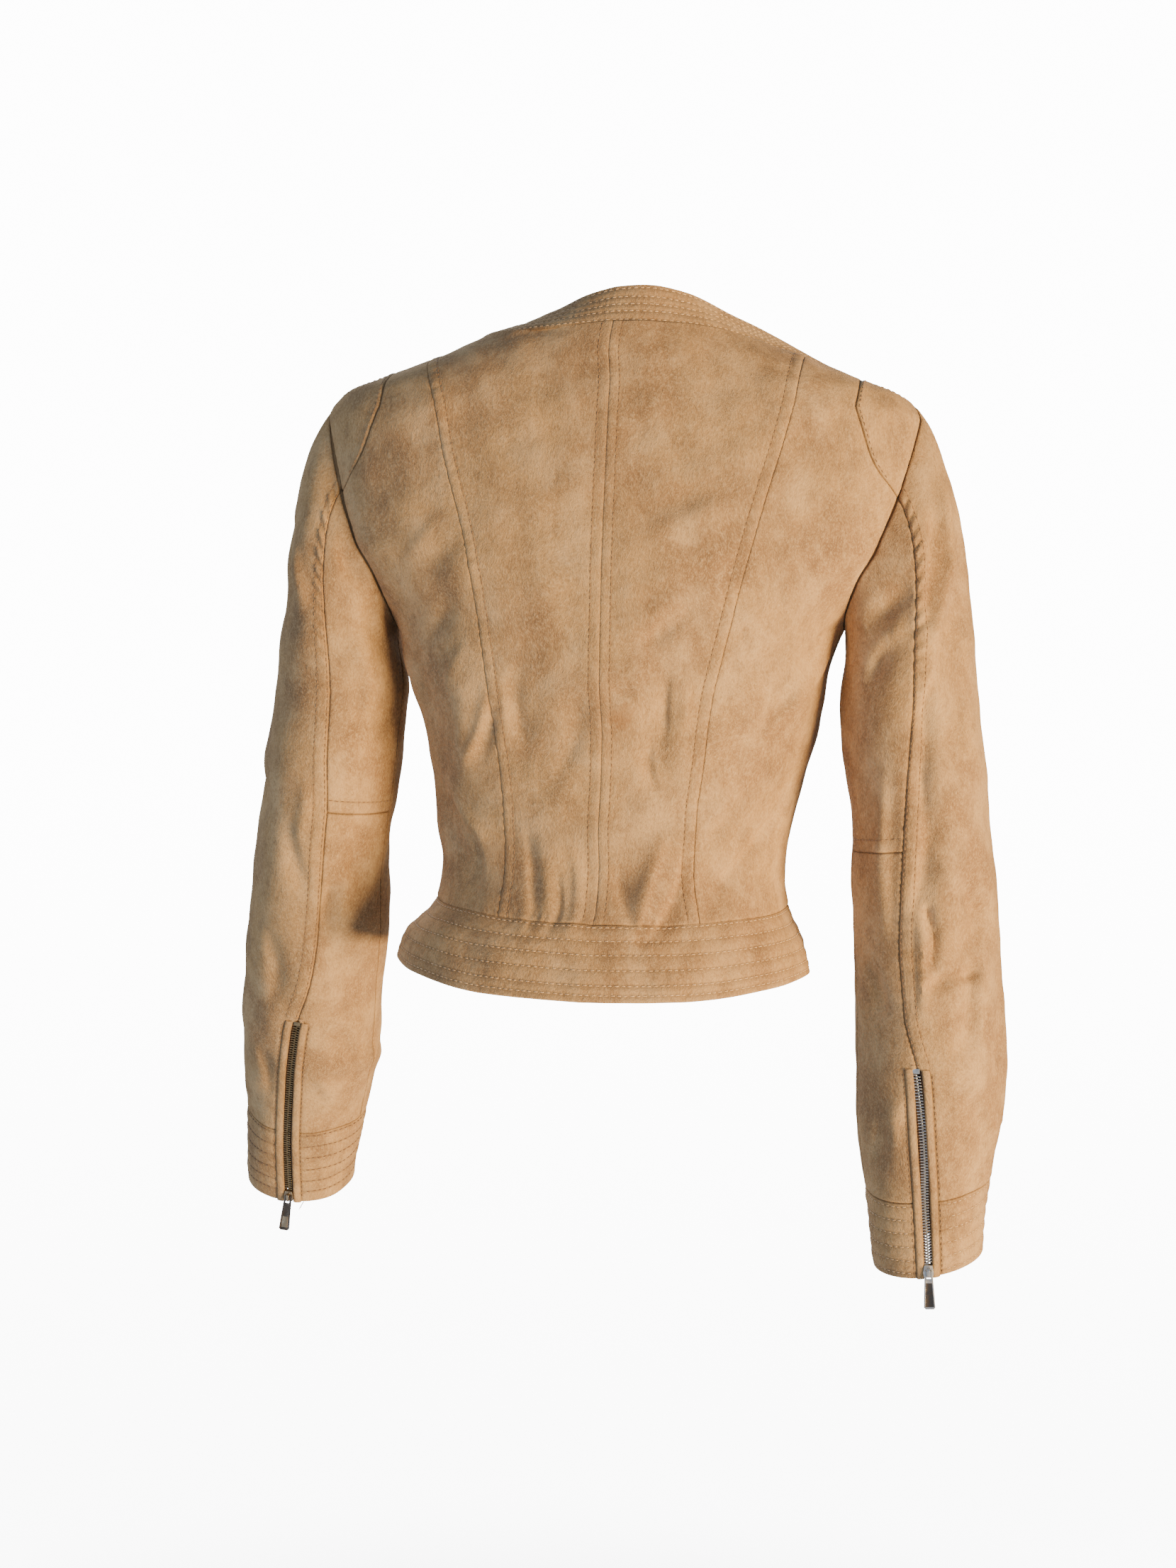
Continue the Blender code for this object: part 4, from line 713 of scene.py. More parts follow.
def newFinish(name, **sockets):      # with its tree, its shader and the place of each point
    made = bpy.data.materials.new(name)
    made.use_nodes = True
    tree = made.node_tree
    shader = tree.nodes["Principled BSDF"]
    for key, value in sockets.items():
        shader.inputs[key.replace("_", " ")].default_value = value
    return made, tree, shader, addNode(tree, "TexCoord").outputs["Object"]


def layTone(tree, ground, over, pattern, start, full, most=1.0):      # a tone where a pattern is strong
    share = addNode(tree, "MapRange", {"interpolation_type": "SMOOTHSTEP"},
                    {"Value": pattern, "From Min": start, "From Max": full, "To Max": most}).outputs[0]
    return addNode(tree, "Mix", {"data_type": "RGBA"}, {0: share, 6: ground, 7: over}).outputs[2]


def dress(tree, shader, ground, height, strength, depth):      # gives a finish its colour and relief
    tree.links.new(ground, shader.inputs["Base Color"])
    bump = addNode(tree, "Bump", None, {"Height": height, "Strength": strength, "Distance": depth * mm})
    tree.links.new(bump.outputs[0], shader.inputs["Normal"])


# brushed suede, drum-dyed and buffed: soft clouds where the nap lies this way and that, short
# upright fibres, dull, with a soft bright edge; fibres are drawn 0.6 mm wide so that they show
suede = {
    "patterns": {      # size, detail, roughness, share of the height (less draws it tall), twist
        "cloud": (71.43, 3.0, 0.5, 1.0, 0.0), "brushed": (29.41, 3.0, 0.5, 0.75, 0.3),
        "mottle": (9.524, 3.0, 0.55, 0.7, 0.2), "clump": (1.7857, 3.0, 0.6, 0.62, 0.0),
        "fibre": (0.58824, 2.0, 0.6, 0.42, 0.0),
    },
    "layers": (        # pattern, where it starts to show and where it is full, most, tone
        ("cloud", 0.38, 0.62, 1.0, "mid"), ("brushed", 0.46, 0.7, 0.72, "light"),
        ("brushed", 0.46, 0.27, 0.58, "deep"), ("mottle", 0.5, 0.74, 0.42, "light"),
        ("mottle", 0.5, 0.28, 0.4, "deep"), ("clump", 0.48, 0.7, 0.3, "lit"),
        ("clump", 0.5, 0.28, 0.32, "deep"), ("fibre", 0.46, 0.72, 0.42, "lit"),
        ("fibre", 0.46, 0.24, 0.4, "deep"),
    ),
    # groove is the tone of the painted shade in seams, stitch rows and pucker hollows
    "tones": {"mid": "#B69161", "light": "#CBA878", "dark": "#9F7B54", "lit": "#DABA8B",
              "deep": "#7D6045", "groove": "#5C442C", "stain": "#93683F", "sheen": "#EDC594"},
    "swirl": 62.5, "lean": (0.034, 0.024, 0.016),      # how the nap turns: size, and metres of shift
    "mark": (-0.004, 0.098, -0.262), "markReach": (13.5, 3.0), "markMost": 0.55,      # a worn brown mark
    "markEdge": 8.333, "markWarp": (0.02, 0.02, 0.03),
    "relief": {"mottle": 1.2, "fibre": 0.7},           # against the clumps' own height
}


def suedeFinish(name):
    tones = {key: tone(code) for key, code in suede["tones"].items()}
    made, tree, shader, where = newFinish(name, Roughness=0.93, Sheen_Weight=0.3, Sheen_Roughness=0.42,
                                          Sheen_Tint=tones["sheen"], Specular_IOR_Level=0.2)

    def shifted(size, detail, reach):      # the same places, pushed about by a noise
        push = addNode(tree, "TexNoise", None, {"Vector": where, "Scale": perMetre(size), "Detail": detail})
        return addNode(tree, "VectorMath", {"operation": "MULTIPLY_ADD"},
                       {0: push.outputs["Color"], 1: reach, 2: where}).outputs[0]

    lay = shifted(suede["swirl"], 1.0, suede["lean"])
    found = {}
    for key, (size, detail, rough, tall, twist) in suede["patterns"].items():
        place = addNode(tree, "Mapping", None, {"Vector": lay if key in ("clump", "fibre") else where,
                                                "Scale": (1.0, 1.0, tall)}).outputs[0]
        found[key] = addNode(tree, "TexNoise", None, {
            "Vector": place, "Scale": perMetre(size), "Detail": detail, "Roughness": rough,
            "Distortion": twist}).outputs[0]
    ground = tones["dark"]
    for key, start, full, most, over in suede["layers"]:
        ground = layTone(tree, ground, tones[over], found[key], start, full, most)
    ragged = shifted(suede["markEdge"], 2.0, suede["markWarp"])
    apart = addNode(tree, "VectorMath", {"operation": "DISTANCE"},
                    {0: ragged, 1: suede["mark"]}).outputs["Value"]
    start, full = (reach * mm for reach in suede["markReach"])
    ground = layTone(tree, ground, tones["stain"], apart, start, full, suede["markMost"])
    # painted shade: the seamShade attribute darkens seam lines, stitch rows and pucker hollows towards the
    # groove tone
    seam = addNode(tree, "Attribute", {"attribute_name": "seamShade"}).outputs["Fac"]
    ground = addNode(tree, "Mix", {"data_type": "RGBA"}, {0: seam, 6: ground, 7: tones["groove"]}).outputs[2]
    dull = addNode(tree, "MapRange", {"interpolation_type": "SMOOTHSTEP"}, {
        "Value": found["clump"], "From Min": 0.3, "From Max": 0.7, "To Min": 0.98, "To Max": 0.88})
    tree.links.new(dull.outputs[0], shader.inputs["Roughness"])
    height = found["clump"]
    for key, share in suede["relief"].items():
        height = addNode(tree, "Math", {"operation": "MULTIPLY_ADD"},
                         {0: found[key], 1: share, 2: height}).outputs[0]
    dress(tree, shader, ground, height, 0.6, 0.8)
    return made


# acetate satin lining, woven: smooth, with a soft streaky shine
satin = {"yarn": 0.625, "slub": 25.0, "tall": 0.06, "dark": "#7A5C3E", "light": "#8D6D4B",
         "streak": "#A58663"}
liningSatin, tree, shader, where = newFinish("lining_satin_woven", Roughness=0.42, Sheen_Weight=0.2,
                                             Specular_IOR_Level=0.4)
drawn = addNode(tree, "Mapping", None, {"Vector": where, "Scale": (1.0, 1.0, satin["tall"])}).outputs[0]
weft = addNode(tree, "TexNoise", None, {"Vector": drawn, "Scale": perMetre(satin["yarn"]), "Detail": 2.0})
slub = addNode(tree, "TexNoise", None, {"Vector": where, "Scale": perMetre(satin["slub"]), "Detail": 3.0})
ground = layTone(tree, tone(satin["dark"]), tone(satin["light"]), slub.outputs[0], 0.35, 0.65)
ground = layTone(tree, ground, tone(satin["streak"]), weft.outputs[0], 0.4, 0.7, 0.4)
dress(tree, shader, ground, weft.outputs[0], 0.3, 0.2)
clothLooks = (suedeFinish("suede_brushed_camel"), liningSatin)
bandLooks = clothLooks[:1]
threads = {"twist": 1.1111, "shade": 14.286}      # the ply, and its slow change of shade


def threadFinish(name, code, lit):      # spun polyester, twisted: matt, lighter on the crown of each stitch
    made, tree, shader, where = newFinish(name, Roughness=0.7, Sheen_Weight=0.3, Specular_IOR_Level=0.35)
    twist, shade = (addNode(tree, "TexNoise", None, {
        "Vector": where, "Scale": perMetre(size), "Detail": 2.0}).outputs[0] for size in threads.values())
    ply = layTone(tree, tone(code), tone(lit), twist, 0.35, 0.65)
    ply = layTone(tree, ply, tone(code), shade, 0.4, 0.65, 0.5)
    dress(tree, shader, ply, twist, 0.5, 0.2)
    return made


threadPale = threadFinish("thread_polyester_pale", "#CDA777", "#EBCB9D")
threadTan = threadFinish("thread_polyester_tan", "#856340", "#A57E54")
threadDark = threadFinish("thread_polyester_dark", "#5E412A", "#7B5A3C")

# polyester zip tape, woven in fine ribs
weave = {"rib": 1.2083, "soft": 3.3333, "dark": "#4A3423", "light": "#6A4E35", "worn": "#7C5E42"}
tapeWoven, tree, shader, where = newFinish("zip_tape_polyester_woven", Roughness=0.82, Sheen_Weight=0.25)
ribs = addNode(tree, "TexWave", {"bands_direction": "Z"}, {      # its bands repeat every pi / 10 of scale
    "Vector": where, "Scale": math.pi / 10 / (weave["rib"] * mm), "Distortion": 0.6,
    "Detail": 2.0}).outputs["Fac"]
soft = addNode(tree, "TexNoise", None, {"Vector": where, "Scale": perMetre(weave["soft"]), "Detail": 2.0})
ground = layTone(tree, tone(weave["dark"]), tone(weave["light"]), ribs, 0.1, 0.9)
ground = layTone(tree, ground, tone(weave["worn"]), soft.outputs[0], 0.45, 0.7, 0.5)
dress(tree, shader, ground, ribs, 0.5, 0.2)
plating = {"film": 2.381, "speck": 0.55556}      # tarnish, and the fine pits of the casting


def plateFinish(name, code, dull, rough, tarnish):
    # die-cast zinc, barrel-plated: bright on the high spots, duller and browner where hands
    # don't polish it
    made, tree, shader, where = newFinish(name, Metallic=1.0, Roughness=rough)
    film = addNode(tree, "TexNoise", None, {
        "Vector": where, "Scale": perMetre(plating["film"]), "Detail": 4.0, "Roughness": 0.6}).outputs[0]
    speck = addNode(tree, "TexNoise", None, {
        "Vector": where, "Scale": perMetre(plating["speck"]), "Detail": 2.0}).outputs[0]
    ground = layTone(tree, tone(code), tone(dull), film, 0.42, 0.68, tarnish)
    haze = addNode(tree, "MapRange", {"interpolation_type": "SMOOTHSTEP"}, {
        "Value": film, "From Min": 0.35, "From Max": 0.7, "To Min": rough, "To Max": rough + 0.16})
    tree.links.new(haze.outputs[0], shader.inputs["Roughness"])
    dress(tree, shader, ground, speck, 0.12, 0.1)
    return made


nickelBright = plateFinish("nickel_plated_zinc", "#E4E1DA", "#A09A8E", 0.3, 0.35)
nickelSmoked = plateFinish("nickel_plated_zinc_smoked", "#A9936F", "#65543C", 0.32, 0.7)
nickelDark = plateFinish("black_nickel_plated_zinc", "#7A6E61", "#463D34", 0.26, 0.5)
brassWorn = plateFinish("nickel_worn_to_brass", "#B7A68A", "#7D6C52", 0.34, 0.6)
print("finishes made:", len(bpy.data.materials))

# sewing: each stitch is a short arched length of thread whose ends dive into the suede
sewing = {
    "length": 3.0, "pitch": 4.2, "thread": 0.34, "sides": 5,
    "flat": 0.8,         # a thread's height to its width
    "section": (         # along the stitch, lift over the suede, swell
        (-0.5, -0.3, 0.45), (-0.28, 0.14, 1.0), (0.28, 0.14, 1.0), (0.5, -0.3, 0.45)),
}


def readOff(value, run, table):      # a table's rows at a distance along it, or at many
    return np.stack([np.interp(value, run, table[:, i]) for i in range(3)], axis=-1)


def lineFrom(piece, side, distance, first=0.0, last=1.0):
    # a line on a piece at a distance from one edge, in steps of about 1 mm
    outer, normal, away = piece["outer"], piece["normal"], piece["gaps"][side]
    share = piece["gaps"][alongSide[side][1]]
    if side in ("top", "bottom"):
        outer, normal, away, share = outer.swapaxes(0, 1), normal.swapaxes(0, 1), away.T, share.T
    points, facings, shares = [], [], []
    for line, face, off, at in zip(outer, normal, away, share):
        if off.max() >= distance:
            order = np.argsort(off)
            points.append(readOff(distance, off[order], line[order]))
            facings.append(readOff(distance, off[order], face[order]))
            shares.append(np.interp(distance, off[order], at[order]))
    run = lengthsAlong(np.array(points), 0)
    start, end = np.interp((first, last), shares, run)
    marks = np.linspace(start, end, max(3, int(end - start)))
    return readOff(marks, run, np.array(points)), unit(readOff(marks, run, np.array(facings)))


def stitchRow(line, seed):      # the middle, run, facing and length of each stitch on a line
    points, facings = line
    run = lengthsAlong(points, 0)
    count = np.arange(int((run[-1] - 1.5) / sewing["pitch"]))
    middles = 1.2 + sewing["length"] / 2 + count * sewing["pitch"] + 0.25 * np.sin(count * 2.1 + seed)
    sizes = sewing["length"] * (1.0 + 0.09 * np.sin(count * 3.7 + seed))
    start, end = (readOff(middles + way * sizes / 2, run, points) for way in (-1, 1))
    return readOff(middles, run, points), end - start, readOff(middles, run, facings), sizes


def sew(name, rows, look):      # all the stitches of one seam as one piece
    middle, along, face, size = (np.concatenate(part) for part in zip(*rows))
    along, size = unit(along), size[:, None]
    face = unit(face - along * np.sum(face * along, axis=1, keepdims=True))
    beside = np.cross(along, face)
    sides, stations = sewing["sides"], len(sewing["section"])
    points = []
    for end, lift, swell in sewing["section"]:
        for k in range(sides):
            turn, radius = 2 * math.pi * (k + 0.25) / sides, sewing["thread"] * swell
            points.append(middle + along * end * size + beside * radius * math.cos(turn)
                          + face * (lift + sewing["flat"] * radius * math.sin(turn)))
    faces = []
    for r in range(stations - 1):
        for k in range(sides):
            j = (k + 1) % sides
            faces.append((r * sides + k, r * sides + j, (r + 1) * sides + j, (r + 1) * sides + k))
    faces.append(tuple(range(sides))[::-1])
    faces.append(tuple((stations - 1) * sides + k for k in range(sides)))
    every = [tuple(i + n * stations * sides for i in face) for n in range(len(middle)) for face in faces]
    piece = meshPiece(name, np.stack(points, axis=1), every, (look,))
    piece.data.shade_smooth()
    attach(piece, "jacket")


# the body's panels
frontNeck, frontWaist = bodyForm["neck"][0][1], bodyForm["waist"][0][1]      # heights at the centre front
neckHeight, waistHeight = ringHeight("neck", 180.0), ringHeight("waist", 180.0)      # at the centre back
sewnAt = {"centre": 6.8, "princess": 7.4, "front": 6.0, "backSleeve": (1.6, 9.0), "elbow": 8.6,
          "patchSide": 2.2, "patchTop": 10.4}      # stitch rows, from their seams
zips = {"slot": 4.2, "pitch": 2.1, "below": 4.0}      # half the opening, teeth's spacing, first tooth
zipStart, zipEnd = (float(angleAtOffset(zips["slot"], height)) for height in (frontNeck, frontWaist))


def topEdge(side, value):      # 0 centre back, 1 neck point, 2 shoulder tip
    value = np.asarray(value, float)
    angle = 180.0 + np.clip(value, 0, 1) * (cutLines["shoulder"] - 180.0)
    start = ringCurves["neck"][side](cutLines["shoulder"])
    tip = cutLines["armhole"][0][2]
    height = np.where(value <= 1, ringCurves["neck"][side](angle), start + (value - 1) * (tip - start))
    return side * angle, height


def overShoulder(side, start, width, height):
    join = cutLines["shoulderJoin"]
    top = np.abs(bodyAt(*start)[0])
    share = np.clip((height - join) / (start[1] - join), 0, 1)
    above = width(join) + (top - width(join)) * share
    return angleAtWidth(side, np.where(height > join, above, width(height)), height)


def princessAt(side, v):
    start = topEdge(side, cutLines["princessStart"][side])
    waist = ringCurves["waist"][side](cutLines["princessAngle"])
    height = start[1] + v ** cutLines["crowding"] * (waist - start[1])
    return overShoulder(side, start, princessWidth[side], height), height


def patchEdgeAt(side, v):
    start = topEdge(side, cutLines["patchStart"][side])
    end = armholeAt(side, cutLines["patchEnd"][1])
    height = start[1] + v ** cutLines["crowding"] * (end[1] - start[1])
    slip = end[0] - angleAtWidth(side, patchWidth(end[1]), end[1])      # brings its foot to the armhole
    return overShoulder(side, start, patchWidth, height) + slip * v ** 6, height


def outerEdge(side, v, upper, hole):      # a panel's outer edge: upper edge, armhole, side seam
    shares, turns = zip(*hole)
    low = armholeAt(side, 180.0)[1]
    down = (v - shares[-1]) / (1 - shares[-1])
    lines = (upper, armholeAt(side, np.interp(v, shares, turns)),
             (side * 90.0 + 0 * v, low + down * (ringHeight("waist", 90.0) - low)))
    return [np.where(v < shares[0], first, np.where(v < shares[-1], second, third))
            for first, second, third in zip(*lines)]


def sideLineAt(side, v):      # the back's: patch, armhole, side seam
    hole = cutLines["backHole"]
    return outerEdge(side, v, patchEdgeAt(side, np.clip(v / hole[0][0], 0, 1)), hole)


def frontLineAt(side, v):      # the front's: shoulder seam, armhole, side seam
    hole = cutLines["frontHole"]
    return outerEdge(side, v, topEdge(side, 1 + np.clip(v / hole[0][0], 0, 1)), hole)


def centreLine(side, v):
    return side * 180.0 + 0 * v, neckHeight + v ** cutLines["crowding"] * (waistHeight - neckHeight)


def zipLine(side, v):      # a front's edge along the zip
    height = frontNeck + v * (frontWaist - frontNeck)
    return side * angleAtOffset(zips["slot"], height), height


def ringLine(key, side, start, end):      # along the neck's or waist's seam
    def at(u):
        angle = start + u * (end - start)
        return side * angle, ringCurves[key][side](angle)
    return at


# dark and line: painted shade along a seam, how dark and how wide
seamEdge = {"groove": 0.6, "pucker": 0.16}
holeEdge = {"groove": 0.85, "pucker": 0.16, "dark": 0.9, "line": 0.8}
waistEdge = {"groove": 0.7, "pucker": 0.3, "dark": 0.55}
softEdge = {"groove": 0.08, "rowShade": 0.3}      # the back's flat seams
panels = {}
for side, hand in hands:
    princessWaist = abs(float(princessAt(side, 1.0)[0]))
    princessTop, patchTop = cutLines["princessStart"][side], cutLines["patchStart"][side]
    patchHigh, patchLow = cutLines["patchEnd"]
    panels[f"centre_{hand}"] = clothPiece(
        f"suede_back_centre_{hand}", f"back_centre_{hand}", bodySurface,
        {"left": lambda v: centreLine(side, v), "right": lambda v: princessAt(side, v),
         "top": lambda u: topEdge(side, u * princessTop),
         "bottom": ringLine("waist", side, 180.0, princessWaist), "restsOn": ["neckband"]},
        {"left": {**softEdge, "dark": 0.14, "rows": (sewnAt["centre"],), "pull": 0.25, "pucker": 0.16,
                  "seed": 1.0 + side, "width": 7.0, "lift": 0.2, "roll": 0.3},
         "right": {**softEdge, "dark": 0.2, "rows": (sewnAt["princess"],), "pull": 0.4, "pucker": 0.6,
                   "seed": 2.0 + side, "width": 7.6, "lift": 0.3, "roll": 0.42},
         "top": {"groove": 0.4, "dark": 0.35}, "bottom": {**waistEdge, "seed": 4.0}})
    panels[f"side_{hand}"] = clothPiece(
        f"suede_back_side_{hand}", f"back_side_{hand}", bodySurface,
        {"left": lambda v: princessAt(side, v), "right": lambda v: sideLineAt(side, v),
         "top": lambda u: topEdge(side, princessTop + u * (patchTop - princessTop)),
         "bottom": ringLine("waist", side, princessWaist, 90.0), "restsOn": ["neckband"]},
        {"left": {"groove": 0.14, "pucker": 0.22, "seed": 3.0, "dark": 0.22, "roll": 0.35},
         "right": {**holeEdge, "seed": 5.0},
         "top": {"groove": 0.4, "dark": 0.5}, "bottom": {**waistEdge, "seed": 6.0}})
    panels[f"patch_{hand}"] = clothPiece(
        f"suede_shoulder_patch_{hand}", f"shoulder_patch_{hand}", bodySurface,
        {"left": lambda v: patchEdgeAt(side, v), "right": lambda v: armholeAt(side, v * patchHigh),
         "top": lambda u: topEdge(side, patchTop + u * (2 - patchTop)),
         "bottom": lambda u: armholeAt(side, patchLow + u * (patchHigh - patchLow)), "restsOn": ["neckband"]},
        {"left": {"groove": 0.5, "lift": 0.25, "width": 5.0, "pucker": 0.12, "dark": 0.6, "line": 0.6},
         "right": holeEdge, "top": {"groove": 0.4, "rows": ((8.5, -1.0, 2.0, 0.5),)},
         "bottom": {"groove": 0.5}})
    panels[f"front_{hand}"] = clothPiece(
        f"suede_front_{hand}", f"front_{hand}", bodySurface,
        {"left": lambda v: zipLine(side, v), "right": lambda v: frontLineAt(side, v),
         "top": ringLine("neck", side, zipStart, cutLines["shoulder"]),
         "bottom": ringLine("waist", side, zipEnd, 90.0), "restsOn": ["neckband"], "step": 3.4},
        {"left": {"groove": 0.0, "rows": (sewnAt["front"],), "pull": 0.35, "width": 6.6, "lift": 0.5,
                  "pucker": 0.2, "tucked": False},
         "right": {**seamEdge, "groove": 0.75, "seed": 7.0}, "top": {"groove": 0.4},
         "bottom": {"groove": 0.7}})
print("body panels dressed")

# waistband and neckband
waistband = {"wall": 2.2, "rows": (2.0, 11.5, 21.5, 31.5, 41.0, 47.0), "depth": 0.42, "fullness": 0.32}
freeEdge = {"groove": 0.0, "tucked": False}
bandEdges = {"top": {"groove": 0.5}, "bottom": freeEdge, "left": {"groove": 0.5}, "right": {"groove": 0.5}}
centreBack = ["suede_back_centre_left", "suede_back_centre_right"]


def quilted(at, rows, depth, fullness, restsOn, held="laid", rowStep=1.15, colStep=2.4):
    # a band's cut: its suede swells a little between the stitch rows
    def shape(gaps):
        d = gaps["top"]
        rise = 0 * d
        for row in rows:
            rise = rise - depth * np.exp(-((d - row) / cloth["quilt"]) ** 2)
        for first, second in zip(rows, rows[1:]):
            t = np.clip((d - first) / (second - first), 0, 1)
            rise = rise + fullness * np.sin(np.pi * t) ** 2 * (1 + 0.5 * pucker(gaps["left"], first))
        return rise
    return {"at": at, "rowStep": rowStep, "colStep": colStep, "held": held, "restsOn": restsOn,
            "shape": shape, "sewn": rows}


def waistbandPiece(name, start, end, colStep, restsOn, edges):      # from one angle to another
    def at(v, u):
        a = start + u * (end - start)
        return a, ringHeight("waist", a) * (1 - v) + ringHeight("hem", a) * v
    cut = quilted(at, waistband["rows"], waistband["depth"], waistband["fullness"], restsOn, colStep=colStep)
    return clothPiece("suede_" + name, name, bodySurface, cut, edges, waistband["wall"], bandLooks)


def neckCut(v, u):
    return zipStart + u * (360.0 - 2 * zipStart), 1.0 - v + 0 * u


bands = {"back": waistbandPiece("waistband_back", 90.0, 270.0, 2.4, centreBack, bandEdges)}
for side, hand in hands:
    frontEdges = {**bandEdges, "left": {**freeEdge, "rows": (sewnAt["front"],), "pull": 0.3}}
    bands[hand] = waistbandPiece(f"waistband_front_{hand}", side * zipEnd, side * 90.0, 2.6,
                                 [f"suede_front_{hand}"], frontEdges)
bands["neck"] = clothPiece(
    "suede_neckband", "neckband", bandSurface,
    quilted(neckCut, neckband["stitchRows"], 0.4, 0.22, centreBack, rowStep=1.0),
    {"top": freeEdge, "bottom": {"groove": 0.45}, "left": freeEdge, "right": freeEdge},
    neckband["wall"], bandLooks)
print("bands dressed")

# sleeves and cuffs
welt = {                 # the folded strip of suede on each side of a cuff zip
    "line": 8.3,         # its seam, from the zip's middle
    "beside": 1.5,       # the stitches beyond the seam
    "wall": 0.62,
    "below": (0.4, 1.2, 2.6),      # its first rows, from the zip's top
    "profile": (         # distance from the zip's middle, height
        (8.3, -0.75), (7.8, 0.15), (6.8, 0.42), (5.5, 0.5), (4.3, 0.38), (3.6, 0.08), (3.2, -0.55),
        (3.6, -1.2), (4.6, -1.6), (6.4, -1.7), (8.1, -1.7)),
}
weltGap = welt["line"] - zips["slot"]
cuffs = {"wall": 2.2, "depth": 0.42, "fullness": 0.34,
         "rows": {1: (2.2, 13.0, 24.0, 35.5, 46.5, 56.6), -1: (2.6, 12.5, 22.2, 32.4, 42.6, 52.0)}}


def turnBeside(side, level, offset):      # the turn at a distance beside the back seam
    return backSeamTurn(side, level) + np.degrees(offset / armCurves[side]["deep"](heightAt(side, level)))


def zipOpen(side, level, way):      # the back seam parts round the zip, below the zip's top
    below = sleeveForm[side]["zipTop"] - heightAt(side, level)
    return turnBeside(side, level, way * zips["slot"] * smooth(below, -0.5, 2.5))


sleeveLines = {
    "under": lambda side, level: underTurn(level), "back": backSeamTurn,
    "zipLeft": lambda side, level: zipOpen(side, level, -1),
    "zipRight": lambda side, level: zipOpen(side, level, 1),
}


def sleeveCut(side, first, last, left, right, back=0.0):      # between two lines, the left one turned back
    def at(v, u):
        level = first + v * (last - first)
        start, end = (sleeveLines[key](side, level) for key in (left, right))
        return (start - back) * (1 - u) + end * u, level + 0 * u
    return at


def sleeveLevels(side):      # elbow, cuff and zip's top, and the zip's top as a share of both back edges
    elbow, cuff, top = (levelOf(side, sleeveForm[side][key]) for key in ("elbow", "cuff", "zipTop"))
    return elbow, cuff, top, top / cuff, (top - elbow) / (cuff - elbow)


def weltRows(share):      # the welt's seam and the stitches beside it, below a share of the edge
    return (weltGap, share, 2.0, 0.6), (weltGap + welt["beside"], share, 2.0, 0.2)


sleeves = {}
for side, hand in hands:
    elbow, cuff, _, share, lowShare = sleeveLevels(side)
    for key, reach, seams, back, restsOn, edges in (
            ("upper", (0.0, cuff), ("under", "zipLeft"), 360.0, (f"front_{hand}", f"back_side_{hand}"),
             {"left": seamEdge, "top": {"groove": 0.5, "pucker": 0.3, "seed": 2.0, "lap": 3.0},
              "right": {"groove": 0.5, "width": 9.4, "lift": 0.6, "pucker": 0.9, "dark": 0.4,
                        # ladder: the wrinkles' form, and the strength of the painted shade in their hollows
                        "ladder": 0.34, "seed": 1.5 * side, "until": share,
                        "rows": (*((row, -1.0, share, 0.3) for row in sewnAt["backSleeve"]),
                                 *weltRows(share))},
              "bottom": {"groove": 0.75, "pucker": 0.25, "seed": 3.0}}),
            ("under_top", (0.0, elbow), ("back", "under"), 0.0, (f"back_side_{hand}",),
             {"left": {"groove": 0.5, "pucker": 0.4, "seed": 4.0, "dark": 0.4}, "right": seamEdge,
              "top": {"groove": 0.5, "lap": 3.0},
              "bottom": {"groove": 0.6, "rows": (sewnAt["elbow"],), "pull": 0.3, "width": 9.0,
                         "lift": 0.4, "pucker": 0.2}}),
            ("under_low", (elbow, cuff), ("zipRight", "under"), 0.0, (f"sleeve_under_top_{hand}",),
             {"left": {"groove": 0.5, "dark": 0.4, "pucker": 0.3, "seed": 6.0, "until": lowShare,
                       "rows": weltRows(lowShare)},
              "right": seamEdge, "top": {"groove": 0.5},
              "bottom": {"groove": 0.75, "pucker": 0.25, "seed": 3.0}})):
        cut = {"at": sleeveCut(side, *reach, *seams, back), "held": "hung",
               "restsOn": ["suede_" + name for name in restsOn]}
        sleeves[f"{key}_{hand}"] = clothPiece(f"suede_sleeve_{key}_{hand}", f"sleeve_{key}_{hand}",
                                              sleeveSurface[side], cut, edges)
    cuffEdge = {"groove": 0.3, "rows": weltRows(-1.0)}
    sleeves[f"cuff_{hand}"] = clothPiece(
        f"suede_cuff_{hand}", f"cuff_{hand}", sleeveSurface[side],
        quilted(sleeveCut(side, cuff, 2.0, "zipRight", "zipLeft", 360.0), cuffs["rows"][side],
                cuffs["depth"], cuffs["fullness"], [f"suede_sleeve_upper_{hand}"], "hung"),
        {"top": {"groove": 0.6}, "bottom": freeEdge, "left": cuffEdge, "right": cuffEdge},
        cuffs["wall"], bandLooks)
print("sleeves dressed")

# zips: woven tapes, folded welts, teeth, stops
tape = {"across": (1.5, 2.6, 6.0, 10.0, 14.0), "depth": 2.35, "wall": 0.6,
        "above": 8.0, "short": 0.3}      # starts above a cuff zip's top, ends short of the hem
tooth = {"size": (3.2, 0.98, 2.3), "bevel": 0.24, "tip": 0.78, "crown": 0.9, "sink": 1.65, "past": 0.55}
stops = {"size": (4.9, 3.6, 2.0), "bevel": 0.35, "sink": 1.3, "above": 2.2}
box = {"size": (7.2, 7.0, 2.3), "bevel": 0.45, "sink": 1.35, "reach": (-449.0, -442.0)}
slider = {"length": 9.0, "hem": 0.6, "spare": 0.2}      # and its distance from the hem and the teeth
frontZip = {             # heights, and distances from the neck seam and the neckband's top edge
    "foot": -449.7, "teeth": -441.5, "below": 0.5, "above": 2.0, "short": 0.3, "spare": 1.3}


def cuffPlace(side):      # points and facings beside a cuff zip, at a level of the sleeve
    surface = sleeveSurface[side]

    def at(level, offset):
        turn = turnBeside(side, level, offset)
        facing = normalsOf(surface, turn, level)
        return surface["at"](turn, level) + facing * surface["detail"](turn, level)[..., None], facing
    return at


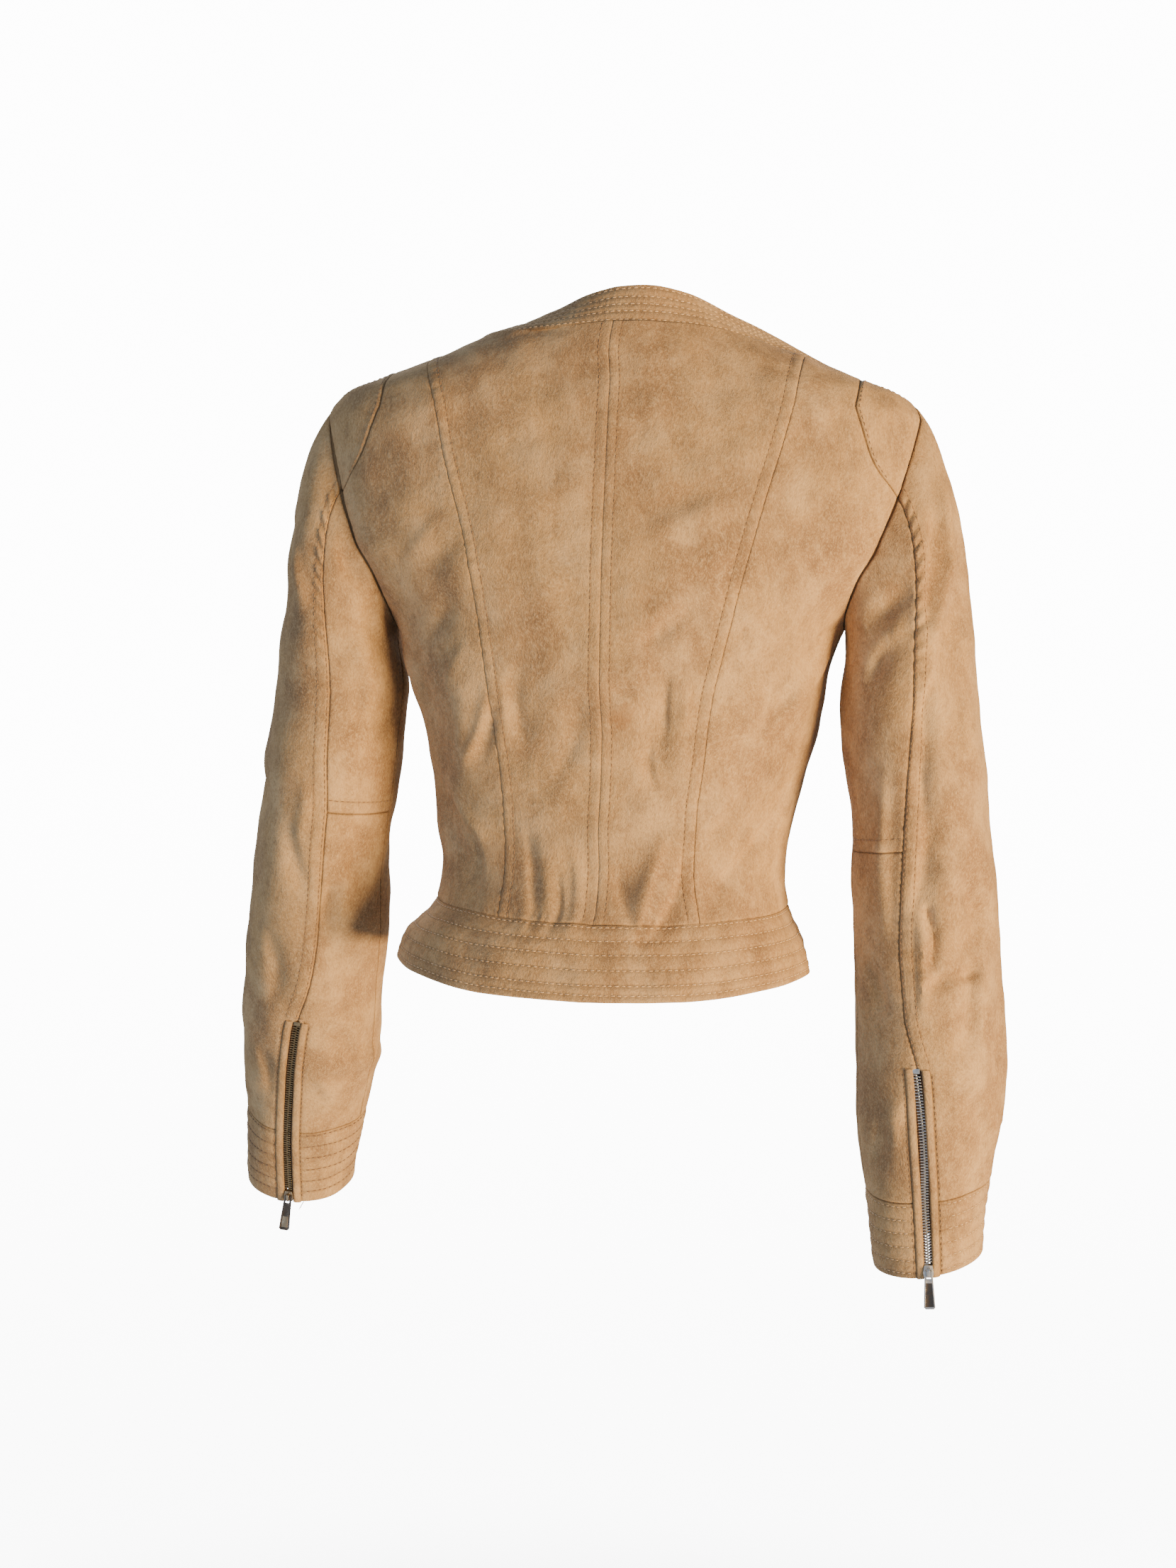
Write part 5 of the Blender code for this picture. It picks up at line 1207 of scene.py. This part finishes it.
def frontPlace(station, offset):      # stations are heights, then distances up the neckband
    low = np.minimum(station, frontNeck)
    share = np.clip(station - frontNeck, 0, None) / neckband["width"]
    angle = np.sign(offset) * angleAtOffset(np.abs(offset), low)
    above = (station > frontNeck)[..., None]
    facing = np.where(above, normalsOf(bandSurface, angle, share), normalsOf(bodySurface, angle, low))
    return np.where(above, bandAt(angle, share), bodyAt(angle, low)), facing


def ribbon(name, place, stations, profile, wall, look, node=None):
    # a strip of cloth along a zip, bent across to a profile of (offset, height)
    offset, height = (np.array(values, float)[None, :] for values in zip(*profile))
    level = stations[:, None]
    points, facing = place(level + 0 * offset, offset + 0 * level)
    middle = points + facing * (height + 0 * level)[..., None]
    out = unit(np.cross(np.gradient(middle, axis=1), np.gradient(middle, axis=0)))
    out *= np.sign(np.sum(out[0, 0] * facing[0, 0]))
    shade = np.zeros(points.shape[:2])
    # painted shade on a welt: dark at its seam, and over its fold and the underside that turns into the slot
    if not node:
        shade[:, 0], shade[:, 1], shade[:, 5:] = 0.8, 0.25, 0.4
    piece = shell(name, middle + out * wall / 2, middle - out * wall / 2, shade, (look,))
    if node:
        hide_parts(node)
    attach(piece, "jacket")


def tapeAlong(name, place, stations, way, node):
    ribbon(name, place, stations, [(way * offset, -tape["depth"]) for offset in tape["across"]],
           tape["wall"], tapeWoven, node)


def alone(piece):
    bpy.ops.object.select_all(action="DESELECT")
    piece.select_set(True)
    bpy.context.view_layer.objects.active = piece


def smoothBelow(piece, degrees):
    alone(piece)
    bpy.ops.object.shade_smooth_by_angle(angle=math.radians(degrees))


def startPart(name, size, bevel, segments=2):      # a bevelled block, in millimetres about the origin
    bpy.ops.object.select_all(action="DESELECT")
    bpy.ops.mesh.primitive_cube_add(size=1.0)
    piece = bpy.context.active_object
    piece.name = name
    bpy.ops.object.mode_set(mode="EDIT")
    bpy.ops.mesh.select_all(action="SELECT")
    bpy.ops.transform.resize(value=size)
    bpy.ops.mesh.bevel(offset=bevel, segments=segments, affect="EDGES")
    bpy.ops.object.mode_set(mode="OBJECT")
    return piece


def copies(name, source, frames, look, node=None):
    # one mesh of many copies: a frame is the part's three axes and its place, side by side
    points = np.array([v.co[:] for v in source.data.vertices])
    faces = [tuple(p.vertices) for p in source.data.polygons]
    frames = np.stack([np.stack(columns, axis=1) for columns in frames])
    verts = np.einsum("nij,kj->nki", frames[:, :, :3], points) + frames[:, None, :, 3]
    every = [tuple(i + n * len(points) for i in face) for n in range(len(frames)) for face in faces]
    piece = meshPiece(name, verts, every, (look,))
    smoothBelow(piece, 35)
    if node:
        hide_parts(node)
    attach(piece, "jacket")


def rail(place, first, last, sway=None):      # the middle of a zip, with its directions, by distance
    fine = np.linspace(first, last, 400)
    shift = np.zeros_like(fine) if sway is None else sway((fine - first) / (last - first))
    middle, out = place(fine, shift)
    beside = place(fine, shift + 0.5)[0] - place(fine, shift - 0.5)[0]
    run = lengthsAlong(middle, 0)

    def at(distance):
        here, up, across = (readOff(distance, run, table) for table in (middle, out, beside))
        up = unit(up)
        across = unit(across - up * (across @ up))
        return here, across, np.cross(up, across), up
    return at, run[-1]


toothPart = startPart("tooth", tooth["size"], tooth["bevel"], 1)
faceOutward(toothPart.data, lambda x, y, z: (x, y * (tooth["tip"] if x > 0.8 else 1.0),
                                             z * (tooth["crown"] if x > 0.8 else 1.0)))
stopPart = startPart("stop", stops["size"], stops["bevel"])
boxPart = startPart("box", box["size"], box["bevel"])


def teethOn(name, place, first, last, node, look, sway=None, stopLook=None):
    at, length = rail(place, first, last, sway)
    frames = []
    for way in (1, -1):
        start = 0.6 + (0.5 * zips["pitch"] if way < 0 else 0.0)
        for distance in np.arange(start, length - 0.5, zips["pitch"]):
            here, across, along, up = at(distance)
            out = tooth["size"][0] / 2 - tooth["past"]
            frames.append((-across * way, along * -way, up, here + across * way * out - up * tooth["sink"]))
    copies(name, toothPart, frames, look, node)
    if stopLook:
        here, across, along, up = at(0.0)
        spot = here + along * stops["above"] * np.sign(along[2]) - up * stops["sink"]
        copies(name + "_stop", stopPart, [(across, along, up, spot)], stopLook)


looksOf = {
    1: {"teeth": nickelSmoked, "slider": brassWorn, "pull": nickelDark},
    -1: {"teeth": nickelBright, "slider": nickelBright, "pull": nickelBright},
}
chainSway = {1: (0.6, 4.6, 1.2, 4), -1: (-1.0, 8.6, -1.5, 3)}      # mm, beat, start, how late it dies away
for side, hand in hands:
    place, cuffName = cuffPlace(side), f"suede_cuff_{hand}"
    perLevel = sleeveTop - sleeveForm[side]["end"]      # mm to a level
    top = levelOf(side, sleeveForm[side]["zipTop"])
    tapeLevels = np.linspace(top - tape["above"] / perLevel, 2.0 - tape["short"] / perLevel, 44)
    first = top + np.array(welt["below"]) / perLevel
    weltLevels = np.concatenate([first[:-1], np.linspace(first[-1], 2.0, 56)])
    for letter, way in (("a", 1), ("b", -1)):
        tapeAlong(f"zip_tape_cuff_{hand}_{letter}", place, tapeLevels, way,
                  f"cuff_zip_{hand}_tape_{letter}")
        ribbon(f"suede_welt_{hand}_{letter}", place, weltLevels,
               [(way * offset, height) for offset, height in welt["profile"]], welt["wall"],
               clothLooks[0])
    reach, beat, start, late = chainSway[side]
    end = 2.0 - (slider["hem"] + slider["length"] + slider["spare"]) / perLevel
    teethOn(f"teeth_cuff_{hand}", place, top + zips["below"] / perLevel, end, f"cuff_zip_{hand}_chain",
            looksOf[side]["teeth"], lambda share: reach * np.sin(share * beat + start) * (1 - share ** late),
            looksOf[side]["teeth"])

bandTop = frontNeck + neckband["width"]
frontStations = np.concatenate([np.linspace(frontZip["foot"], frontNeck - frontZip["below"], 90),
                                np.linspace(frontNeck + frontZip["above"], bandTop - frontZip["short"], 9)])
for letter, way, hand in (("a", 1, "left"), ("b", -1, "right")):
    tapeAlong(f"zip_tape_front_{letter}", frontPlace, frontStations, way,
              f"front_zip_tape_{letter}")
teethOn("teeth_front", frontPlace, frontZip["teeth"], bandTop - slider["length"] - frontZip["spare"],
        "front_zip_chain", nickelBright)
here, across, along, up = rail(frontPlace, *box["reach"])[0](box["size"][1] / 2)
boxFrame = (across, along, up, here - up * box["sink"])
copies("zip_box_front", boxPart, [boxFrame], nickelBright, "front_zip_box")
for part in (toothPart, stopPart, boxPart):
    bpy.data.objects.remove(part)
print("zips closed")

# sliders and pulls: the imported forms, rounded over, the pulls with a sunk face
pull = {
    "recess": ((7.2, 2.05), (23.4, 3.0)),      # distance below the pin and half width, at both ends
    "face": 0.55, "sunk": 0.33, "round": 0.17,
}
plate = {"from": 14.6, "to": 22.8, "wide": 4.3, "thick": 0.3, "taper": 0.06, "lift": 0.3}


def copyNode(node):
    mesh = frame["nodes"][node].data.copy()
    mesh.materials.clear()
    piece = bpy.data.objects.new(node + "_plated", mesh)
    bpy.context.scene.collection.objects.link(piece)
    alone(piece)
    bpy.ops.object.mode_set(mode="EDIT")
    bpy.ops.mesh.select_all(action="SELECT")
    bpy.ops.mesh.customdata_custom_splitnormals_clear()
    bpy.ops.mesh.remove_doubles(threshold=0.000002)
    bpy.ops.mesh.dissolve_limited(angle_limit=math.radians(1.0))
    bpy.ops.object.mode_set(mode="OBJECT")
    return piece


def rounded(piece, size, segments=2):
    alone(piece)
    bevel = piece.modifiers.new("rounded", "BEVEL")
    bevel.width = size * mm
    bevel.segments = segments
    bevel.limit_method = "ANGLE"
    bevel.angle_limit = math.radians(30)
    bpy.ops.object.modifier_apply(modifier="rounded")
    smoothBelow(piece, 40)


def pinFrame(joint):      # x along the pin, z up the pull, y out of the garment
    pin = Vector(joint["pos_m"])
    across = Vector(joint["axis"]).normalized() * (1 if joint["axis"][0] > 0 else -1)
    low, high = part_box(joint["child"])
    hang = (low + high) / 2 - pin
    hang = (hang - across * hang.dot(across)).normalized()
    turned = Matrix((across, across.cross(hang), -hang)).transposed().to_4x4()
    turned.translation = pin
    return turned


def sunkFace(piece, joint, looks):
    turned = pinFrame(joint)
    (start, startHalf), (end, endHalf) = pull["recess"]
    bpy.ops.object.select_all(action="DESELECT")
    bpy.ops.mesh.primitive_cube_add(size=1.0)
    cutter = bpy.context.active_object
    faceOutward(cutter.data, lambda x, y, z: (x * 2 * (startHalf if z > 0 else endHalf) * mm,
                                              (pull["face"] + y * 2 * pull["sunk"]) * mm,
                                              -(start if z > 0 else end) * mm))
    cutter.data.transform(turned)
    alone(piece)
    cut = piece.modifiers.new("sunk", "BOOLEAN")
    cut.operation = "DIFFERENCE"
    cut.object = cutter
    bpy.ops.object.modifier_apply(modifier="sunk")
    bpy.data.objects.remove(cutter)
    rounded(piece, pull["round"])
    for look in looks:
        piece.data.materials.append(look)
    back = turned.inverted()
    for face in piece.data.polygons:
        spot = back @ face.center / mm
        if start - 0.2 < -spot.z < end + 0.2 and 0.05 < spot.y < 0.35:      # the recess's floor and walls
            face.material_index = 1


def inlay(name, joint, look):      # a thin plate let into the lower half of a pull's face
    long, middle = plate["to"] - plate["from"], (plate["from"] + plate["to"]) / 2
    piece = startPart(name, (plate["wide"], plate["thick"], long), 0.12)
    faceOutward(piece.data, lambda x, y, z: (x * (1.0 - plate["taper"] * z / long) * mm,
                                             (y + plate["lift"]) * mm, (z - middle) * mm))
    piece.data.transform(pinFrame(joint))
    smoothBelow(piece, 40)
    piece.data.materials.append(look)
    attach(piece, joint["child"])


for joint in frame["joints"]:
    node = joint["child"]
    side = 1 if node == "cuff_pull_left" else -1
    holder = copyNode(node.replace("pull", "slider"))
    holder.data.materials.append(looksOf[side]["slider"])
    rounded(holder, 0.22, 3)
    tab = copyNode(node)
    sunkFace(tab, joint, (looksOf[side]["pull"], nickelDark))
    for piece, replaced, body in ((holder, node.replace("pull", "slider"), "jacket"), (tab, node, node)):
        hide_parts(replaced)
        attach(piece, body)
    if side > 0:
        inlay(node + "_plate", joint, brassWorn)
print("sliders and pulls plated")

# sewing
looseEnd = {"beside": 9.6, "run": (3.8, 0.4, -7.4), "from": 0.28, "off": 0.2}      # of thread, at the hem
zipBar = {"above": 2.4, "half": 8.6}      # the row across the zip's top


def bandSewn(key, rows, first=0.0, last=1.0):
    piece = bands.get(key) or sleeves[key]
    return [stitchRow(lineFrom(piece, "top", row, first, last), k) for k, row in enumerate(rows)]


sew("stitches_neckband", bandSewn("neck", neckband["stitchRows"]), threadPale)
sew("stitches_waistband", [row for key in ("back", "left", "right")
                           for row in bandSewn(key, waistband["rows"])], threadPale)
backRows = []
for side, hand in hands:
    for piece, edge, distance, seed in (
            (panels[f"centre_{hand}"], "left", sewnAt["centre"], side),
            (panels[f"centre_{hand}"], "right", sewnAt["princess"], side + 0.5),
            (panels[f"front_{hand}"], "left", sewnAt["front"], side),
            (bands[hand], "left", sewnAt["front"], side)):
        backRows.append(stitchRow(lineFrom(piece, edge, distance), seed))
sew("stitches_back_and_front", backRows, threadTan)
for side, hand in hands:
    _, _, zipTop, share, lowShare = sleeveLevels(side)
    upper, cuffPiece, patchPiece = sleeves[f"upper_{hand}"], sleeves[f"cuff_{hand}"], panels[f"patch_{hand}"]
    beside = weltGap + welt["beside"]
    rows = [stitchRow(lineFrom(piece, edge, distance, first, last), seed)
            for piece, edge, distance, first, last, seed in (
                (upper, "right", sewnAt["backSleeve"][0], 0.01, share, 1.0),
                (upper, "right", sewnAt["backSleeve"][1], 0.01, share, 2.0),
                (sleeves[f"under_top_{hand}"], "bottom", sewnAt["elbow"], 0.0, 1.0, 3.0),
                (patchPiece, "left", sewnAt["patchSide"], 0.0, 0.93, 4.0),
                (patchPiece, "top", sewnAt["patchTop"], 0.0, 1.0, 6.0),
                (upper, "right", beside, share, 1.0, share),
                (sleeves[f"under_low_{hand}"], "left", beside, lowShare, 1.0, lowShare),
                (cuffPiece, "left", beside, 0.0, 1.0, 0.0), (cuffPiece, "right", beside, 0.0, 1.0, 0.0))]
    level = np.full(19, zipTop - zipBar["above"] / (sleeveTop - sleeveForm[side]["end"]))
    across = np.linspace(-zipBar["half"], zipBar["half"], 19)
    rows.append(stitchRow(cuffPlace(side)(level, across), 5.0))
    sew(f"stitches_sleeve_{hand}", rows, threadTan)
    rows = bandSewn(f"cuff_{hand}", cuffs["rows"][side], 0.03, 0.97)
    if side > 0:      # a loose end of thread hangs from the hem beside the zip
        hem, facing = cuffPlace(side)(np.array([2.0]), np.array([looseEnd["beside"]]))
        run = np.array([looseEnd["run"]])
        rows.append((hem + run * looseEnd["from"] + facing * looseEnd["off"], run, facing,
                     np.linalg.norm(run, axis=1)))
    sew(f"stitches_cuff_{hand}", rows, threadPale if side < 0 else threadDark)
print("sewn")

# floor, light, camera
floorPlan = {"height": -1.36, "radius": 1.5, "solid": 0.5, "grime": 333.33}      # it fades out from solid
bpy.ops.object.select_all(action="DESELECT")
bpy.ops.mesh.primitive_circle_add(vertices=96, radius=floorPlan["radius"], fill_type="NGON",
                                  location=(0, 0, floorPlan["height"]))
floor = bpy.context.active_object
floor.name = "studio_floor"
paintedFloor, tree, shader, where = newFinish("floor_painted_matt", Roughness=0.9, Specular_IOR_Level=0.2)
flat = addNode(tree, "Mapping", None, {"Vector": where, "Scale": (1.0, 1.0, 0.0)}).outputs[0]
away = addNode(tree, "VectorMath", {"operation": "LENGTH"}, {0: flat}).outputs["Value"]
grime = addNode(tree, "TexNoise", None, {
    "Vector": where, "Scale": perMetre(floorPlan["grime"]), "Detail": 2.0}).outputs[0]
ground = layTone(tree, tone("#F2F2F2"), tone("#EBEBEB"), grime, 0.3, 0.7)
fading = addNode(tree, "MapRange", {"interpolation_type": "SMOOTHSTEP"}, {
    "Value": away, "From Min": floorPlan["radius"], "From Max": floorPlan["solid"]})
tree.links.new(ground, shader.inputs["Base Color"])
tree.links.new(fading.outputs[0], shader.inputs["Alpha"])
floor.data.materials.append(paintedFloor)

lamps = {
    "key": {"spot": (-3.44, 2.24, -1.24), "size": 1.9, "power": 480.0, "tint": "#FFDAA0"},
    "fill": {"spot": (1.9, 1.6, -0.5), "size": 2.0, "power": 16.0, "tint": "#E8F0FF"},
    "front": {"spot": (0.6, -2.2, 0.7), "size": 2.4, "power": 60.0, "tint": "#FFFFFF"},
}
aim = (0.0, 0.0, -0.33)
for name, soft in lamps.items():
    lamp = bpy.data.lights.new(name, "AREA")
    lamp.shape = "DISK"
    lamp.size = soft["size"]
    lamp.energy = soft["power"]
    lamp.color = tone(soft["tint"])[:3]
    holder = bpy.data.objects.new(name, lamp)
    holder.location = soft["spot"]
    holder.rotation_euler = (Vector(aim) - Vector(soft["spot"])).to_track_quat("-Z", "Y").to_euler()
    bpy.context.scene.collection.objects.link(holder)

studio = {"low": "#DADADA", "high": "#FCFCFC", "seen": 14.0, "light": "#C6DDFF", "power": 0.42}
sky = bpy.data.worlds.new("studio_sweep")
sky.use_nodes = True
bpy.context.scene.world = sky
tree = sky.node_tree
tree.nodes.clear()
ray = addNode(tree, "TexCoord").outputs["Generated"]
upward = addNode(tree, "SeparateXYZ", None, {0: ray}).outputs["Z"]
sweep = layTone(tree, tone(studio["low"]), tone(studio["high"]), upward, -0.42, 0.02)
seen = addNode(tree, "Background", None, {"Color": sweep, "Strength": studio["seen"]})
lit = addNode(tree, "Background", None, {"Color": tone(studio["light"]), "Strength": studio["power"]})
toCamera = addNode(tree, "LightPath").outputs["Is Camera Ray"]
both = addNode(tree, "MixShader", None, {0: toCamera, 1: lit.outputs[0], 2: seen.outputs[0]})
addNode(tree, "OutputWorld", None, {"Surface": both.outputs[0]})

view = {
    "eye": (-0.1744, 1.3865, -0.2976), "right": (-0.99005, -0.13788, 0.02827),
    "up": (0.03040, -0.01339, 0.99945), "forward": (0.13742, -0.99036, -0.01745),
    "lens": 46.22, "sensor": 36.0,
}
lens = bpy.data.cameras.new("view")
lens.sensor_fit = "VERTICAL"
lens.sensor_height = view["sensor"]
lens.lens = view["lens"]
lens.clip_start, lens.clip_end = 0.05, 30.0
camera = bpy.data.objects.new("view", lens)
axes = Matrix((view["right"], view["up"], tuple(-c for c in view["forward"]))).transposed().to_4x4()
axes.translation = Vector(view["eye"])
camera.matrix_world = axes
bpy.context.scene.collection.objects.link(camera)
bpy.context.scene.camera = camera
